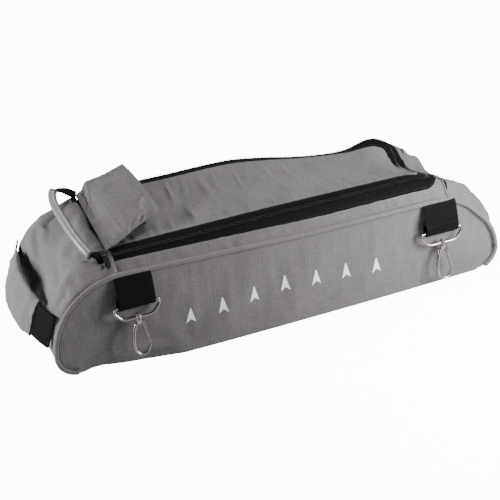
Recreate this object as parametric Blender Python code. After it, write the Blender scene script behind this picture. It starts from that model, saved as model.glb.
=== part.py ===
"""Clip-on bowling shoe bag: a soft zipped bag whose four snap hooks fasten it on top of a wheeled ball tote.

Axes: X along the bag, -Y is its front, +Z up. The origin is the centre of the base, on its underside.
Lengths below are in millimetres, and MM turns them into metres where an object is made.
"""
import math

import bmesh
import bpy
from mathutils import Euler, Matrix, Vector

MM = 0.001

# Driving dimensions of the bag.
BASE_WIDTH = 180.0
PANEL_LEAN = math.radians(8.0)
BACK_SHARE = 0.91
CLOTH = 2.0
PANEL_CLOTH = 2.4
BOARD = 3.0
TAPE = 1.2
FLAP_CLOTH = 1.8
PATCH = 1.2
PIPING_RADIUS = 2.9
SEAM_GAP = 0.6
BASE_LINE = 1.3
# The base cloth and its board end at these places along the front edge, inside the end gussets.
BASE_LEFT = -264.0
BASE_RIGHT = 269.0
BASE_INSET = 2.6
BOARD_LEFT = -187.0
BOARD_RIGHT = 256.0
BOARD_INSET = 9.0
BOARD_GAP = 0.4
# Corners of the front panel as x, z and fillet radius, from the bottom left over the top.
OUTLINE = (
    (-297.0, 12.5, 26.0),
    (-303.0, 126.5, 84.0),
    (25.0, 113.0, 500.0),
    (240.0, 112.0, 80.0),
    (298.5, 54.0, 72.0),
    (298.5, BASE_LINE, 28.0),
)
# The soft base lifts off the ground toward its left end, by this much over this length.
LIFT_START = -185.0
LIFT_LENGTH = 66.0
LIFT = 9.0
OUTLINE_STEP = 20.0

# Height of the top along X: x, then its height at each place of PROFILE_Y across the bag.
TOP_PROFILE = (
    (-262.0, 128.0, 138.0, 139.5, 141.0), (-240.0, 136.0, 146.0, 148.5, 150.0),
    (-214.0, 138.0, 148.5, 154.5, 159.0), (-100.0, 138.0, 149.0, 155.0, 159.0),
    (-20.0, 138.0, 148.0, 154.0, 158.0), (30.0, 138.0, 145.0, 149.0, 150.0),
    (70.0, 138.0, 141.5, 144.0, 141.0), (110.0, 138.0, 138.5, 140.0, 134.0),
    (150.0, 138.0, 134.0, 134.0, 131.5), (184.0, 138.0, 128.0, 125.0, 139.0),
    (206.0, 134.0, 118.0, 112.0, 131.0), (228.0, 126.0, 106.0, 98.0, 114.0),
    (250.0, 114.0, 92.0, 86.0, 96.0),
)
PROFILE_Y = (-54.0, 0.0, 30.0, 54.0)
ZIP_Y = 54.0
ZIP_LEFT = -212.0
ZIP_RIGHT = 215.0
ZIP_CORNER = 14.0
TAPE_WIDTH = 8.5
COIL_RADIUS = 1.1
COIL_OFFSET = 1.5
LID_SEAM_X = -213.0
SEAM_X = 229.0
# How far the cloth of the two ends swells outward.
LEFT_SWELL = 10.0
RIGHT_SWELL = 1.0
# The most that the ends rise above the outline, at the front and at the rear zip.
MOST_RISE = (20.0, 46.0)
# Length of top on each side of the lid's seam that is straight across, so that the lid can turn there.
SEAM_FLAT = 26.0

# The four clips.
CLIP_LEFT = -197.0
CLIP_RIGHT = 214.0
WEBBING_WIDTH = 46.0
WEBBING = 1.6
STRAP_LENGTH = 34.0
STRAP_INSET = 4.4
BAR_REACH = 4.0
HANG_ANGLE = math.radians(10.0)
WIRE_RADIUS = 1.8
LOOP_DROP = 16.0
BOSS_RADIUS = 3.6
BOSS_HEIGHT = 5.0
POST_RADIUS = 1.4
HOOK_WIRE = 1.7
GATE_PLACE = (4.9, -9.8)
GATE_BORE = 1.1
PIN_RADIUS = 0.8

GREY = (0.235, 0.215, 0.228)
BLACK = (0.012, 0.013, 0.014)


def material(name, colour, roughness, metallic=0.0):
    """A plain Principled material, made once for each name."""
    found = bpy.data.materials.get(name)
    if found:
        return found
    made = bpy.data.materials.new(name)
    made.use_nodes = True
    shader = made.node_tree.nodes["Principled BSDF"]
    shader.inputs["Base Color"].default_value = (*colour, 1.0)
    shader.inputs["Roughness"].default_value = roughness
    shader.inputs["Metallic"].default_value = metallic
    return made


def polyester():
    return material("grey_polyester", GREY, 0.8)


def webbing():
    return material("black_webbing", BLACK, 0.7)


def nickel():
    return material("nickel_plate", (0.55, 0.54, 0.52), 0.28, 1.0)


def add_object(name, mesh, look, origin=(0, 0, 0), parent=None):
    """Links a mesh as an object with one material at an origin given in millimetres."""
    mesh.materials.clear()
    mesh.materials.append(look)
    obj = bpy.data.objects.new(name, mesh)
    bpy.context.scene.collection.objects.link(obj)
    obj.location = Vector(origin) * MM
    obj.parent = parent
    return obj


def mesh_from(points, faces, origin=(0, 0, 0)):
    """A closed mesh in metres about an origin, with its faces turned outward."""
    start = Vector(origin)
    mesh = bpy.data.meshes.new("shape")
    bm = bmesh.new()
    verts = [bm.verts.new((Vector(p) - start) * MM) for p in points]
    for face in faces:
        bm.faces.new([verts[i] for i in face])
    bmesh.ops.recalc_face_normals(bm, faces=bm.faces)
    if bm.calc_volume(signed=True) < 0:
        bmesh.ops.reverse_faces(bm, faces=bm.faces)
    bm.to_mesh(mesh)
    bm.free()
    mesh.shade_smooth()
    mesh.set_sharp_from_angle(angle=math.radians(35))
    return mesh


def slab(grid, thickness):
    """Points and faces of a sheet with a thickness, from a grid of points on its middle surface."""
    rows = len(grid)
    columns = len(grid[0])
    upper = []
    lower = []
    for i in range(rows):
        for j in range(columns):
            along = grid[min(i + 1, rows - 1)][j] - grid[max(i - 1, 0)][j]
            across = grid[i][min(j + 1, columns - 1)] - grid[i][max(j - 1, 0)]
            normal = along.cross(across).normalized() * (thickness / 2)
            upper.append(grid[i][j] + normal)
            lower.append(grid[i][j] - normal)
    count = rows * columns
    faces = []
    for i in range(rows - 1):
        for j in range(columns - 1):
            a = i * columns + j
            quad = (a, a + 1, a + columns + 1, a + columns)
            faces.append(quad)
            faces.append(tuple(count + k for k in reversed(quad)))
    rim = [j for j in range(columns)]
    rim += [i * columns + columns - 1 for i in range(1, rows)]
    rim += [(rows - 1) * columns + j for j in range(columns - 2, -1, -1)]
    rim += [i * columns for i in range(rows - 2, 0, -1)]
    for k, a in enumerate(rim):
        b = rim[(k + 1) % len(rim)]
        faces.append((a, b, count + b, count + a))
    return upper + lower, faces


def sweep(path, sections, up, closed=False, bore=None):
    """Sweeps a section (one list of side, up offsets, or one for each point) along a path.

    A bore is a second, smaller section of as many points, which leaves a hole right through."""
    count = len(path)
    each = sections if isinstance(sections[0], list) else [sections] * count
    sides = len(each[0])
    points = []
    for shape in (each, [bore] * count if bore else None):
        if shape is None:
            continue
        for i, point in enumerate(path):
            before = path[(i - 1) % count] if closed else path[max(i - 1, 0)]
            after = path[(i + 1) % count] if closed else path[min(i + 1, count - 1)]
            tangent = (after - before).normalized()
            side = tangent.cross(Vector(up)).normalized()
            top = side.cross(tangent)
            points += [point + side * a + top * b for a, b in shape[i]]
    faces = []
    steps = count if closed else count - 1
    for shell in range(2 if bore else 1):
        first = shell * count * sides
        for i in range(steps):
            for j in range(sides):
                a = first + i * sides + j
                b = first + i * sides + (j + 1) % sides
                c = first + ((i + 1) % count) * sides + (j + 1) % sides
                d = first + ((i + 1) % count) * sides + j
                faces.append((a, b, c, d))
    if closed:
        return points, faces
    last = (count - 1) * sides
    if bore:
        inner = count * sides
        for end in (0, last):
            for j in range(sides):
                k = (j + 1) % sides
                faces.append((end + j, end + k, inner + end + k, inner + end + j))
    else:
        faces.append(tuple(range(sides)))
        faces.append(tuple(last + j for j in range(sides)))
    return points, faces


def circle(radius, sides):
    """A round section of a sweep."""
    turns = [2 * math.pi * (k + 0.5) / sides for k in range(sides)]
    return [(radius * math.cos(t), radius * math.sin(t)) for t in turns]


def oblong(width, height):
    """A rectangular section with cut corners, wide along the side direction."""
    cut = min(width, height) * 0.25
    w = width / 2
    h = height / 2
    return [(-w, -h + cut), (-w + cut, -h), (w - cut, -h), (w, -h + cut),
            (w, h - cut), (w - cut, h), (-w + cut, h), (-w, h - cut)]


def prism(outline, depth, axis):
    """Extrudes a closed outline of points by a depth vector."""
    move = Vector(axis) * depth
    near = [Vector(p) - move / 2 for p in outline]
    far = [p + move for p in near]
    count = len(outline)
    faces = [tuple(range(count)), tuple(range(2 * count - 1, count - 1, -1))]
    faces += [(k, (k + 1) % count, count + (k + 1) % count, count + k) for k in range(count)]
    return near + far, faces


def smooth_value(table, column, x):
    """Reads a smooth curve through a table's column at x."""
    if x <= table[0][0]:
        return table[0][column]
    if x >= table[-1][0]:
        return table[-1][column]
    k = max(i for i in range(len(table) - 1) if table[i][0] <= x)

    def slope(i):
        low = table[max(i - 1, 0)]
        high = table[min(i + 1, len(table) - 1)]
        return (high[column] - low[column]) / (high[0] - low[0])

    width = table[k + 1][0] - table[k][0]
    t = (x - table[k][0]) / width
    start = table[k][column]
    end = table[k + 1][column]
    return ((2 * t**3 - 3 * t**2 + 1) * start + (t**3 - 2 * t**2 + t) * width * slope(k)
            + (3 * t**2 - 2 * t**3) * end + (t**3 - t**2) * width * slope(k + 1))


def smooth_path(points, steps):
    """A Catmull-Rom curve through points, with steps pieces between each two."""
    p = [Vector(q) for q in points]
    ends = [2 * p[0] - p[1]] + p + [2 * p[-1] - p[-2]]
    path = []
    for k in range(1, len(ends) - 2):
        a, b, c, d = ends[k - 1:k + 3]
        for i in range(steps):
            t = i / steps
            path.append(0.5 * (2 * b + (c - a) * t + (2 * a - 5 * b + 4 * c - d) * t * t
                               + (3 * b - a - 3 * c + d) * t**3))
    return path + [p[-1]]


def filleted(corners, step):
    """Points and outward normals along an open line through corners, each rounded by its radius."""
    flat = [Vector((x, z)) for x, z, _ in corners]
    closed = flat + [flat[0], flat[1]]
    stations = []
    for k in range(len(corners)):
        here = flat[k]
        back = (closed[k - 1] if k else flat[-1]) - here
        ahead = closed[k + 1] - here
        back.normalize()
        ahead.normalize()
        half = back.angle(ahead) / 2
        radius = corners[k][2]
        reach = radius / math.tan(half)
        centre = here + (back + ahead).normalized() * radius / math.sin(half)
        start = here + back * reach - centre
        end = here + ahead * reach - centre
        outward = 1 if back.x * ahead.y - back.y * ahead.x > 0 else -1
        pieces = max(2, math.ceil(math.degrees(start.angle(end)) / 13))
        for i in range(pieces + 1):
            spoke = start.normalized().slerp(end.normalized(), i / pieces)
            stations.append((centre + spoke * radius, spoke * outward))
    full = [stations[0]]
    for there in stations[1:]:
        gap = (there[0] - full[-1][0]).length
        pieces = max(1, round(gap / step))
        begin = full[-1]
        for i in range(1, pieces + 1):
            t = i / pieces
            normal = begin[1].lerp(there[1], t).normalized()
            full.append((begin[0].lerp(there[0], t), normal))
    return full


FRONT_LINE = filleted(OUTLINE, OUTLINE_STEP)


def panel_y(z):
    """How far the leaning front and back panels stand from the middle at a height."""
    return BASE_WIDTH / 2 - z * math.tan(PANEL_LEAN)


PIPING_Y = panel_y(120.0)


def taper(y):
    """The share of the front's length that the bag has at y."""
    share = (y + PIPING_Y) / (2 * PIPING_Y)
    return 1 - (1 - BACK_SHARE) * share


def outline_height(x):
    """Height of the panels' outline at a place on its top side."""
    top = [p for p, normal in FRONT_LINE if normal.y > 0.3]
    for a, b in zip(top, top[1:]):
        if a.x <= x <= b.x:
            return a.y + (b.y - a.y) * (x - a.x) / (b.x - a.x)
    return top[0].y if x < top[0].x else top[-1].y


def top_height(x, y):
    """Height of the bag's soft top over a place in plan."""
    edge = outline_height(x / taper(y))
    heights = [smooth_value(TOP_PROFILE, c + 1, x) for c in range(len(PROFILE_Y))]
    section = [(-PIPING_Y, edge), *zip(PROFILE_Y, heights), (PIPING_Y, edge)]
    soft = smooth_value(section, 1, y)
    if abs(y) >= ZIP_Y:
        return soft
    straight = heights[0] + (heights[-1] - heights[0]) * (y + ZIP_Y) / (2 * ZIP_Y)
    near = max(0.0, 1 - abs(x - LID_SEAM_X) / SEAM_FLAT)
    return soft + (straight - soft) * near * near * (3 - 2 * near)


def end_point(station, y):
    """A point of an end gusset: the outline carried across the bag and swelled along its normal."""
    flat, normal = station
    x = max(TOP_PROFILE[0][0], min(TOP_PROFILE[-1][0], flat.x * taper(y)))
    most_rise = MOST_RISE[0] + (MOST_RISE[1] - MOST_RISE[0]) * max(0.0, y) / ZIP_Y
    swell = min(most_rise, top_height(x, y) - outline_height(x / taper(y)))
    share = max(0.0, min(1.0, (normal.y + 0.15) / 1.15))
    share = share * share * (3 - 2 * share)
    most = LEFT_SWELL if flat.x < 0 else RIGHT_SWELL
    side_swell = most * (1 - (y / PIPING_Y) ** 2) * max(0.0, min(1.0, (flat.y - 6) / 50))
    rise = share * swell + (1 - share) * max(0.0, side_swell)
    depth = panel_y(flat.y) / PIPING_Y
    return Vector((flat.x * taper(y) + normal.x * rise, y * depth, flat.y + normal.y * rise))


def across(edge, count):
    """Places across the bag between the two pipings, closer together near its edges."""
    return [edge * math.sin(math.pi / 2 * (2 * k / count - 1)) for k in range(count + 1)]


def line_lengths():
    """Lengths along the outline from its bottom left to each of its stations."""
    lengths = [0.0]
    for (a, _), (b, _) in zip(FRONT_LINE, FRONT_LINE[1:]):
        lengths.append(lengths[-1] + (b - a).length)
    return lengths


LENGTHS = line_lengths()


def line_at(length):
    """The outline's point and outward normal at a length along it."""
    k = max(i for i in range(len(LENGTHS) - 1) if LENGTHS[i] <= length + 1e-6)
    t = min(1.0, (length - LENGTHS[k]) / (LENGTHS[k + 1] - LENGTHS[k]))
    (a, a_normal), (b, b_normal) = FRONT_LINE[k], FRONT_LINE[k + 1]
    return a.lerp(b, t), a_normal.lerp(b_normal, t).normalized()


def crossing(x):
    """Length along the outline where its top side passes x."""
    for k in range(len(FRONT_LINE) - 1):
        (a, normal), (b, _) = FRONT_LINE[k], FRONT_LINE[k + 1]
        if normal.y > 0 and a.x <= x <= b.x:
            return LENGTHS[k] + (LENGTHS[k + 1] - LENGTHS[k]) * (x - a.x) / (b.x - a.x)
    raise ValueError(f"the outline's top doesn't reach {x}")


def make_gussets():
    """The two ends, each one piece of cloth from panel to panel."""
    edge = PIPING_Y - PIPING_RADIUS - SEAM_GAP
    places = across(edge, 12)
    ends = (("left_gusset", LID_SEAM_X - SEAM_GAP - 0.6, 14), ("right_gusset", SEAM_X + 3.6, 11))
    for name, seam_x, count in ends:
        spans = []
        for y in places:
            seam = crossing(seam_x / taper(y))
            spans.append((0.0, seam) if seam_x < 0 else (seam, LENGTHS[-1]))
        rows = []
        for i in range(count + 1):
            row = [line_at(a + (b - a) * i / count) for a, b in spans]
            rows.append([end_point(station, y) for station, y in zip(row, places)])
        add_object(name, mesh_from(*slab(rows, CLOTH)), polyester())


def panel_frame(back):
    """Empty on a panel's middle plane at the base edge, with its Z axis up the leaning panel."""
    empty = bpy.data.objects.new("back_face" if back else "front_face", None)
    bpy.context.scene.collection.objects.link(empty)
    empty.location = Vector((0, (1 if back else -1) * BASE_WIDTH / 2, 0)) * MM
    empty.rotation_euler = Euler((-PANEL_LEAN, 0, math.pi if back else 0))
    return empty


def base_lift(x):
    """How high the base stands off the ground at a place along the front."""
    past = max(0.0, min(1.0, (LIFT_START - x) / LIFT_LENGTH))
    return LIFT * past**1.6


def panel_line(back):
    """The panel's outline in its own frame, where heights are measured up the slope."""
    side = -BACK_SHARE if back else 1.0
    return [(Vector((p.x * side, 0, p.y / math.cos(PANEL_LEAN))), Vector((n.x * side, 0, n.y)).normalized())
            for p, n in FRONT_LINE if p.y > 3.2 or n.y > -0.2]


def make_panels(frames):
    """Front and back panels with the piping sewn round them."""
    for name, frame in frames.items():
        line = panel_line(name == "back")
        inset = PIPING_RADIUS + 0.4
        edge = [p - n * inset for p, n in line]
        side = 1 if name == "front" else -BACK_SHARE
        foot = 0.6
        low = [Vector((edge[-1].x - 6 * side, 0, foot)), Vector((LIFT_START * side, 0, foot))]
        for k in range(1, 6):
            x = LIFT_START - LIFT_LENGTH * k / 5
            low.append(Vector((x * side, 0, foot + base_lift(x))))
        shape = prism(edge + low, PANEL_CLOTH, (0, 1, 0))
        add_object(f"{name}_panel", mesh_from(*shape), polyester(), parent=frame)
        piping = [p for p, _ in line if p.z > PIPING_RADIUS + 0.5]
        tube = sweep(piping, circle(PIPING_RADIUS, 8), (0, 1, 0))
        add_object(f"{name}_piping", mesh_from(*tube), material("grey_piping", GREY, 0.7), parent=frame)


def base_grid(left, right, half_width, height):
    """Middle surface of a sheet that follows the bag's plan and its lifted left end."""
    places = [right, LIFT_START] + [LIFT_START + (left - LIFT_START) * k / 5 for k in range(1, 6)]
    grid = []
    for x in places:
        tuck = 3.4 * max(0.0, min(1.0, (LIFT_START - 40 - x) / 14))
        half = half_width - tuck
        z = height + base_lift(x)
        grid.append([Vector((x, -half, z)), Vector((x * BACK_SHARE, half, z))])
    return grid


def make_base():
    """The base cloth and the stiffener board that lies on it."""
    shell = base_grid(BASE_LEFT, BASE_RIGHT, BASE_WIDTH / 2 - BASE_INSET, PANEL_CLOTH / 2)
    add_object("base_panel", mesh_from(*slab(shell, PANEL_CLOTH)), polyester())
    half = BASE_WIDTH / 2 - BOARD_INSET
    middle = PANEL_CLOTH + BOARD_GAP + BOARD / 2
    outline = [(BOARD_LEFT, -half, middle), (BOARD_RIGHT, -half, middle),
               (BOARD_RIGHT * BACK_SHARE, half, middle), (BOARD_LEFT * BACK_SHARE, half, middle)]
    board = prism(outline, BOARD, (0, 0, 1))
    add_object("base_board", mesh_from(*board), material("board", (0.02, 0.02, 0.02), 0.6))


def zip_line(offset, step=24.0):
    """The zip's centre line in plan, moved inward by an offset."""
    y = ZIP_Y - offset
    right = ZIP_RIGHT - offset
    radius = ZIP_CORNER - offset
    places = []
    runs = max(1, round((right - radius - ZIP_LEFT) / step))
    for k in range(runs):
        places.append((ZIP_LEFT + (right - radius - ZIP_LEFT) * k / runs, -y))
    for k in range(7):
        turn = math.pi / 12 * k
        places.append((right - radius + radius * math.sin(turn), -y + radius - radius * math.cos(turn)))
    places.append((right, 0.0))
    return places + [(x, -v) for x, v in reversed(places[:-1])]


def on_top(x, y, lift=0.0):
    """A point on the bag's top, or above it."""
    return Vector((x, y, top_height(x, y) + lift))


def make_zip_side(low, high, coil):
    """One side of the zip: a tape between two offsets from the centre line and its coil."""
    edges = [zip_line(low), zip_line((low + high) / 2), zip_line(high)]
    grid = [[on_top(*edges[c][k]) for c in range(3)] for k in range(len(edges[0]))]
    tape = mesh_from(*slab(grid, TAPE))
    row = [on_top(*p, 0.3) for p in zip_line(coil)]
    chain = mesh_from(*sweep(row, circle(COIL_RADIUS, 6), (0, 0, 1)))
    return tape, chain


def make_top():
    """The strips round the opening, both sides of the zip, and the lid."""
    edge = PIPING_Y - PIPING_RADIUS - SEAM_GAP
    reach = COIL_OFFSET + COIL_RADIUS + TAPE_WIDTH + 2 * SEAM_GAP
    corner = ZIP_RIGHT - ZIP_CORNER
    radius = ZIP_CORNER + reach
    first = LID_SEAM_X + 1
    stations = [first + (corner - first) * k / 18 for k in range(18)]
    stations += [corner + (SEAM_X - 3 - corner) * math.sin(math.pi / 12 * k) for k in range(7)]
    for name, side in (("front_top_strip", -1), ("back_top_strip", 1)):
        grid = []
        for x in stations:
            bend = math.sqrt(max(0.0, radius**2 - max(0.0, x - corner) ** 2))
            inner = ZIP_Y - ZIP_CORNER + bend
            grid.append([on_top(x, side * (edge + (inner - edge) * k / 3)) for k in range(4)])
        add_object(name, mesh_from(*slab(grid, CLOTH)), polyester())
    start = COIL_OFFSET + COIL_RADIUS + SEAM_GAP
    outer_tape, outer_chain = make_zip_side(-start, -start - TAPE_WIDTH, -COIL_OFFSET)
    add_object("zip_tape_body", outer_tape, webbing())
    add_object("zip_coil_body", outer_chain, webbing())
    hinge = hinge_line()[0]
    inner_tape, inner_chain = make_zip_side(start, start + TAPE_WIDTH, COIL_OFFSET)
    for name, mesh in (("zip_tape_lid", inner_tape), ("zip_coil_lid", inner_chain)):
        mesh.transform(Matrix.Translation(-hinge * MM))
        add_object(name, mesh, webbing(), origin=hinge)


def hinge_line():
    """Two points of the seam that the lid turns on, which climbs toward the back."""
    x = LID_SEAM_X
    return Vector((x, -ZIP_Y, top_height(x, -ZIP_Y))), Vector((x, ZIP_Y, top_height(x, ZIP_Y)))


def make_lid():
    """The lid cloth inside the zip."""
    margin = COIL_OFFSET + COIL_RADIUS + 2 * SEAM_GAP + TAPE_WIDTH
    right = ZIP_RIGHT - margin
    corner = ZIP_CORNER - margin + 4
    stations = [LID_SEAM_X + 1 + (right - corner - LID_SEAM_X - 1) * k / 18 for k in range(19)]
    stations += [right - corner + corner * math.sin(math.pi / 8 * k) for k in range(1, 5)]
    grid = []
    for x in stations:
        inside = max(0.0, x - (right - corner))
        round_off = corner - math.sqrt(max(0.0, corner**2 - inside**2))
        half = ZIP_Y - margin - round_off
        grid.append([on_top(x, half * (2 * k / 8 - 1)) for k in range(9)])
    hinge = hinge_line()[0]
    add_object("lid_panel", mesh_from(*slab(grid, CLOTH), origin=hinge), polyester(), origin=hinge)


# Edges of the curled flap, from its seam to its free end, at its front and at its back.
FLAP_FRONT = (
    (-210.5, -44.0, 143.5), (-203.0, -44.5, 146.0), (-188.0, -40.0, 150.5), (-174.0, -32.0, 152.5),
    (-136.0, -17.0, 158.5),
)
FLAP_BACK = (
    (-210.5, 53.0, 162.5), (-202.0, 60.0, 171.0), (-195.0, 61.0, 172.5), (-177.0, 62.0, 175.0),
    (-149.0, 70.0, 178.5),
)


def along_edge(points, along):
    """A place on a smooth edge, from 0 at its start to 1 at its end."""
    path = smooth_path(points, 12)
    at = along * (len(path) - 1)
    k = min(int(at), len(path) - 2)
    return path[k].lerp(path[k + 1], at - k)


def flap_point(along, side, lift=0.0):
    """A point of the flap: along from its seam, side from -1 at the front to 1 at the back."""
    share = (side + 1) / 2
    place = along_edge(FLAP_FRONT, along).lerp(along_edge(FLAP_BACK, along), share)
    place.z += 5.0 * math.sin(math.pi * share) * math.sin(math.pi / 2 * along) + lift
    return place


def make_flap():
    """The hook-and-loop flap sewn to the lid beside the hinge, with its two patches."""
    hinge = hinge_line()[0] + Vector((4, 0, 3))
    steps = [k / 6 for k in range(7)]
    sides = [2 * k / 6 - 1 for k in range(7)]
    grid = [[flap_point(a, s) for s in sides] for a in steps]
    add_object("flap_panel", mesh_from(*slab(grid, FLAP_CLOTH), origin=hinge), polyester(), origin=hinge)
    patch = [[flap_point(a, s, -3.2) for s in (-0.5, -0.1, 0.3, 0.7)] for a in (0.55, 0.7, 0.85)]
    hook = mesh_from(*slab(patch, PATCH), origin=hinge)
    add_object("flap_hook_patch", hook, webbing(), origin=hinge)
    lid_hinge = hinge_line()[0]
    patch = [[on_top(x, y, CLOTH / 2 + 1.0) for y in (-22, -8, 8, 22)] for x in (-184, -170, -156)]
    loop = mesh_from(*slab(patch, PATCH), origin=lid_hinge)
    add_object("lid_loop_patch", loop, webbing(), origin=lid_hinge)


def make_right_seam():
    """The piped seam that closes the top at its right end."""
    edge = PIPING_Y - PIPING_RADIUS - SEAM_GAP
    path = [on_top(SEAM_X + 0.8, y, 1.3) for y in across(edge, 12)]
    tube = sweep(path, circle(1.6, 6), (1, 0, 0))
    add_object("right_seam_piping", mesh_from(*tube), material("grey_piping", GREY, 0.7))


# The grab handle lies across the left end: webbing run through a tube grip.
GRAB_ROUTE = (
    (-229.0, -52.5, 141.8), (-238.5, -50.5, 144.5), (-245.5, -26.0, 152.0), (-249.0, 8.0, 160.5),
    (-249.5, 36.0, 166.0), (-244.5, 56.0, 169.5), (-235.0, 62.0, 167.5), (-226.0, 61.0, 164.5),
    (-219.5, 57.0, 161.5),
)
GRIP_RADIUS = 5.0
GRIP_BORE = 3.4


def make_grab_handle():
    """The tube grip and the webbing that runs through it to the ends of the zip."""
    origin = GRAB_ROUTE[0]
    path = smooth_path(GRAB_ROUTE, 4)
    wide = oblong(9.0, 2.0)
    narrow = oblong(4.6, 1.6)
    covered = range(3, 22)
    sections = [narrow if i in covered else wide for i in range(len(path))]
    strap = sweep(path, sections, (0, 0, 1))
    add_object("grab_webbing", mesh_from(*strap, origin=origin), webbing(), origin=origin)
    grip_path = path[4:21]
    grip = sweep(grip_path, circle(GRIP_RADIUS, 10), (0, 0, 1), bore=circle(GRIP_BORE, 10))
    rubber = material("grey_rubber", (0.35, 0.35, 0.36), 0.35)
    add_object("grab_grip", mesh_from(*grip, origin=origin), rubber, origin=origin)


# The end handle hangs from a line between its two seams on the left end.
END_TOP_FRONT = Vector((-292.5, -76.0, 88.0))
END_TOP_BACK = Vector((-290.0, 71.0, 110.0))
END_BULGE = 18.0
END_BAND = 42.0
END_OUT = Vector((-1.0, 0.14, 0.0)).normalized()
SLEEVE_START = 0.2
SLEEVE_END = 0.8
SLEEVE_DEPTH = 11.0
SLEEVE_WALL = 3.0
# The handle's band leans, with its lower edge standing farther out.
END_UP = Vector((math.sin(math.radians(18)), 0.0, math.cos(math.radians(18))))


def end_path(first, last, count, drop):
    """Places along the end handle, which bows outward between its seams."""
    path = []
    for k in range(count + 1):
        t = first + (last - first) * k / count
        bow = END_BULGE * math.sin(math.pi * t) ** 0.8
        path.append(END_TOP_FRONT.lerp(END_TOP_BACK, t) + END_OUT * bow - END_UP * drop)
    return path


def make_end_handle():
    """The left end's carry handle: wide webbing inside a padded cloth sleeve."""
    origin = END_TOP_FRONT
    drop = END_BAND / 2
    strap = sweep(end_path(0, 1, 18, drop), oblong(1.8, END_BAND), END_UP)
    add_object("end_webbing", mesh_from(*strap, origin=origin), webbing(), origin=origin)
    outside = oblong(SLEEVE_DEPTH, END_BAND + 3 * SLEEVE_WALL)
    inside = oblong(SLEEVE_DEPTH - 2 * SLEEVE_WALL, END_BAND + SLEEVE_WALL)
    sleeve = sweep(end_path(SLEEVE_START, SLEEVE_END, 12, drop), outside, END_UP, bore=inside)
    add_object("end_wrap", mesh_from(*sleeve, origin=origin), polyester(), origin=origin)


def cut(target, tool_points, tool_faces, operation):
    """Joins or cuts a mesh object with a closed tool shape by a Boolean that is applied at once."""
    tool = bpy.data.objects.new("cutter", mesh_from(tool_points, tool_faces))
    bpy.context.scene.collection.objects.link(tool)
    step = target.modifiers.new("step", "BOOLEAN")
    step.operation = operation
    step.solver = "EXACT"
    step.object = tool
    graph = bpy.context.evaluated_depsgraph_get()
    result = bpy.data.meshes.new_from_object(target.evaluated_get(graph))
    target.modifiers.clear()
    target.data = result
    bpy.data.objects.remove(tool)


def rod(start, end, radius, sides=8):
    """A straight round bar."""
    a = Vector(start)
    b = Vector(end)
    up = (0, 1, 0) if abs((b - a).normalized().y) < 0.9 else (0, 0, 1)
    return sweep([a, b], circle(radius, sides), up)


def built(shape, edits):
    """A mesh made from one shape and a list of Boolean edits."""
    obj = bpy.data.objects.new("blank", mesh_from(*shape))
    bpy.context.scene.collection.objects.link(obj)
    for operation, (points, faces) in edits:
        cut(obj, points, faces, operation)
    mesh = obj.data
    bpy.data.objects.remove(obj)
    mesh.shade_smooth()
    mesh.set_sharp_from_angle(angle=math.radians(40))
    return mesh


def strap_mesh():
    """Webbing that hangs from the piping and folds round the loop's bar."""
    turn = WIRE_RADIUS + 0.6 + WEBBING / 2
    centre = Vector((0, -BAR_REACH, -STRAP_LENGTH))
    line = [Vector((0, 0, 0)), Vector((0, -2.6, -8)), Vector((0, centre.y - turn, centre.z + 5))]
    for k in range(7):
        angle = math.pi + math.pi * k / 6
        line.append(centre + Vector((0, math.cos(angle) * turn, math.sin(angle) * turn)))
    line.append(centre + Vector((0, turn, 9)))
    left = []
    right = []
    for i, point in enumerate(line):
        along = (line[min(i + 1, len(line) - 1)] - line[max(i - 1, 0)]).normalized()
        side = Vector((0, -along.z, along.y)) * (WEBBING / 2)
        left.append(point + side)
        right.append(point - side)
    return mesh_from(*prism(left + right[::-1], WEBBING_WIDTH, (1, 0, 0)))


def loop_mesh():
    """The wire loop with the boss that the hook's post turns in."""
    half = WEBBING_WIDTH / 2 + 2.5
    right = [(half, 0), (half + 2, -1.6), (half + 2.6, -5.4), (half - 2, -11.5), (half - 9, -LOOP_DROP)]
    route = [(-half, 0)] + right + [(-x, z) for x, z in right[:0:-1]]
    path = [Vector((x, 0, z)) for x, z in route]
    wire = sweep(path, circle(WIRE_RADIUS, 8), (0, 1, 0), closed=True)
    low = -LOOP_DROP - BOSS_HEIGHT / 2
    high = low + BOSS_HEIGHT
    boss = rod((0, 0, low), (0, 0, high), BOSS_RADIUS, 12)
    bore = rod((0, 0, low - 1), (0, 0, high + 1), POST_RADIUS + 0.4, 12)
    return built(wire, [("UNION", boss), ("DIFFERENCE", bore)])


def hook_mesh():
    """The hook: post with a head, collar, and a bent wire nose that leaves room for the gate."""
    route = [(0, -6), (-5, -10), (-8.4, -20), (-9.8, -32), (-8.8, -41), (-4.2, -46.2), (1.4, -46.8),
             (6.6, -43.6), (9.2, -37.5)]
    path = [Vector((x, 0, z)) for x, z in route]
    nose = sweep(path, circle(HOOK_WIRE, 8), (0, 1, 0))
    neck = BOSS_HEIGHT / 2 + 0.5
    gate_x, gate_z = GATE_PLACE
    edits = [
        ("UNION", rod((0, 0, -8.5), (0, 0, -neck), 3.3, 12)),
        ("UNION", rod((0, 0, -neck - 1), (0, 0, neck + 1.5), POST_RADIUS, 10)),
        ("UNION", rod((0, 0, neck), (0, 0, neck + 2), 3.0, 12)),
        ("UNION", prism([(1.0, 0, -5), (6.8, 0, -5), (7.2, 0, -12), (2.5, 0, -12)], 5.6, (0, 1, 0))),
        ("DIFFERENCE", prism([(2.2, 0, -7.4), (9, 0, -7.4), (9, 0, -14), (2.2, 0, -14)], 3.2, (0, 1, 0))),
        ("DIFFERENCE", rod((gate_x, -6, gate_z), (gate_x, 6, gate_z), GATE_BORE)),
    ]
    return built(nose, edits)


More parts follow.
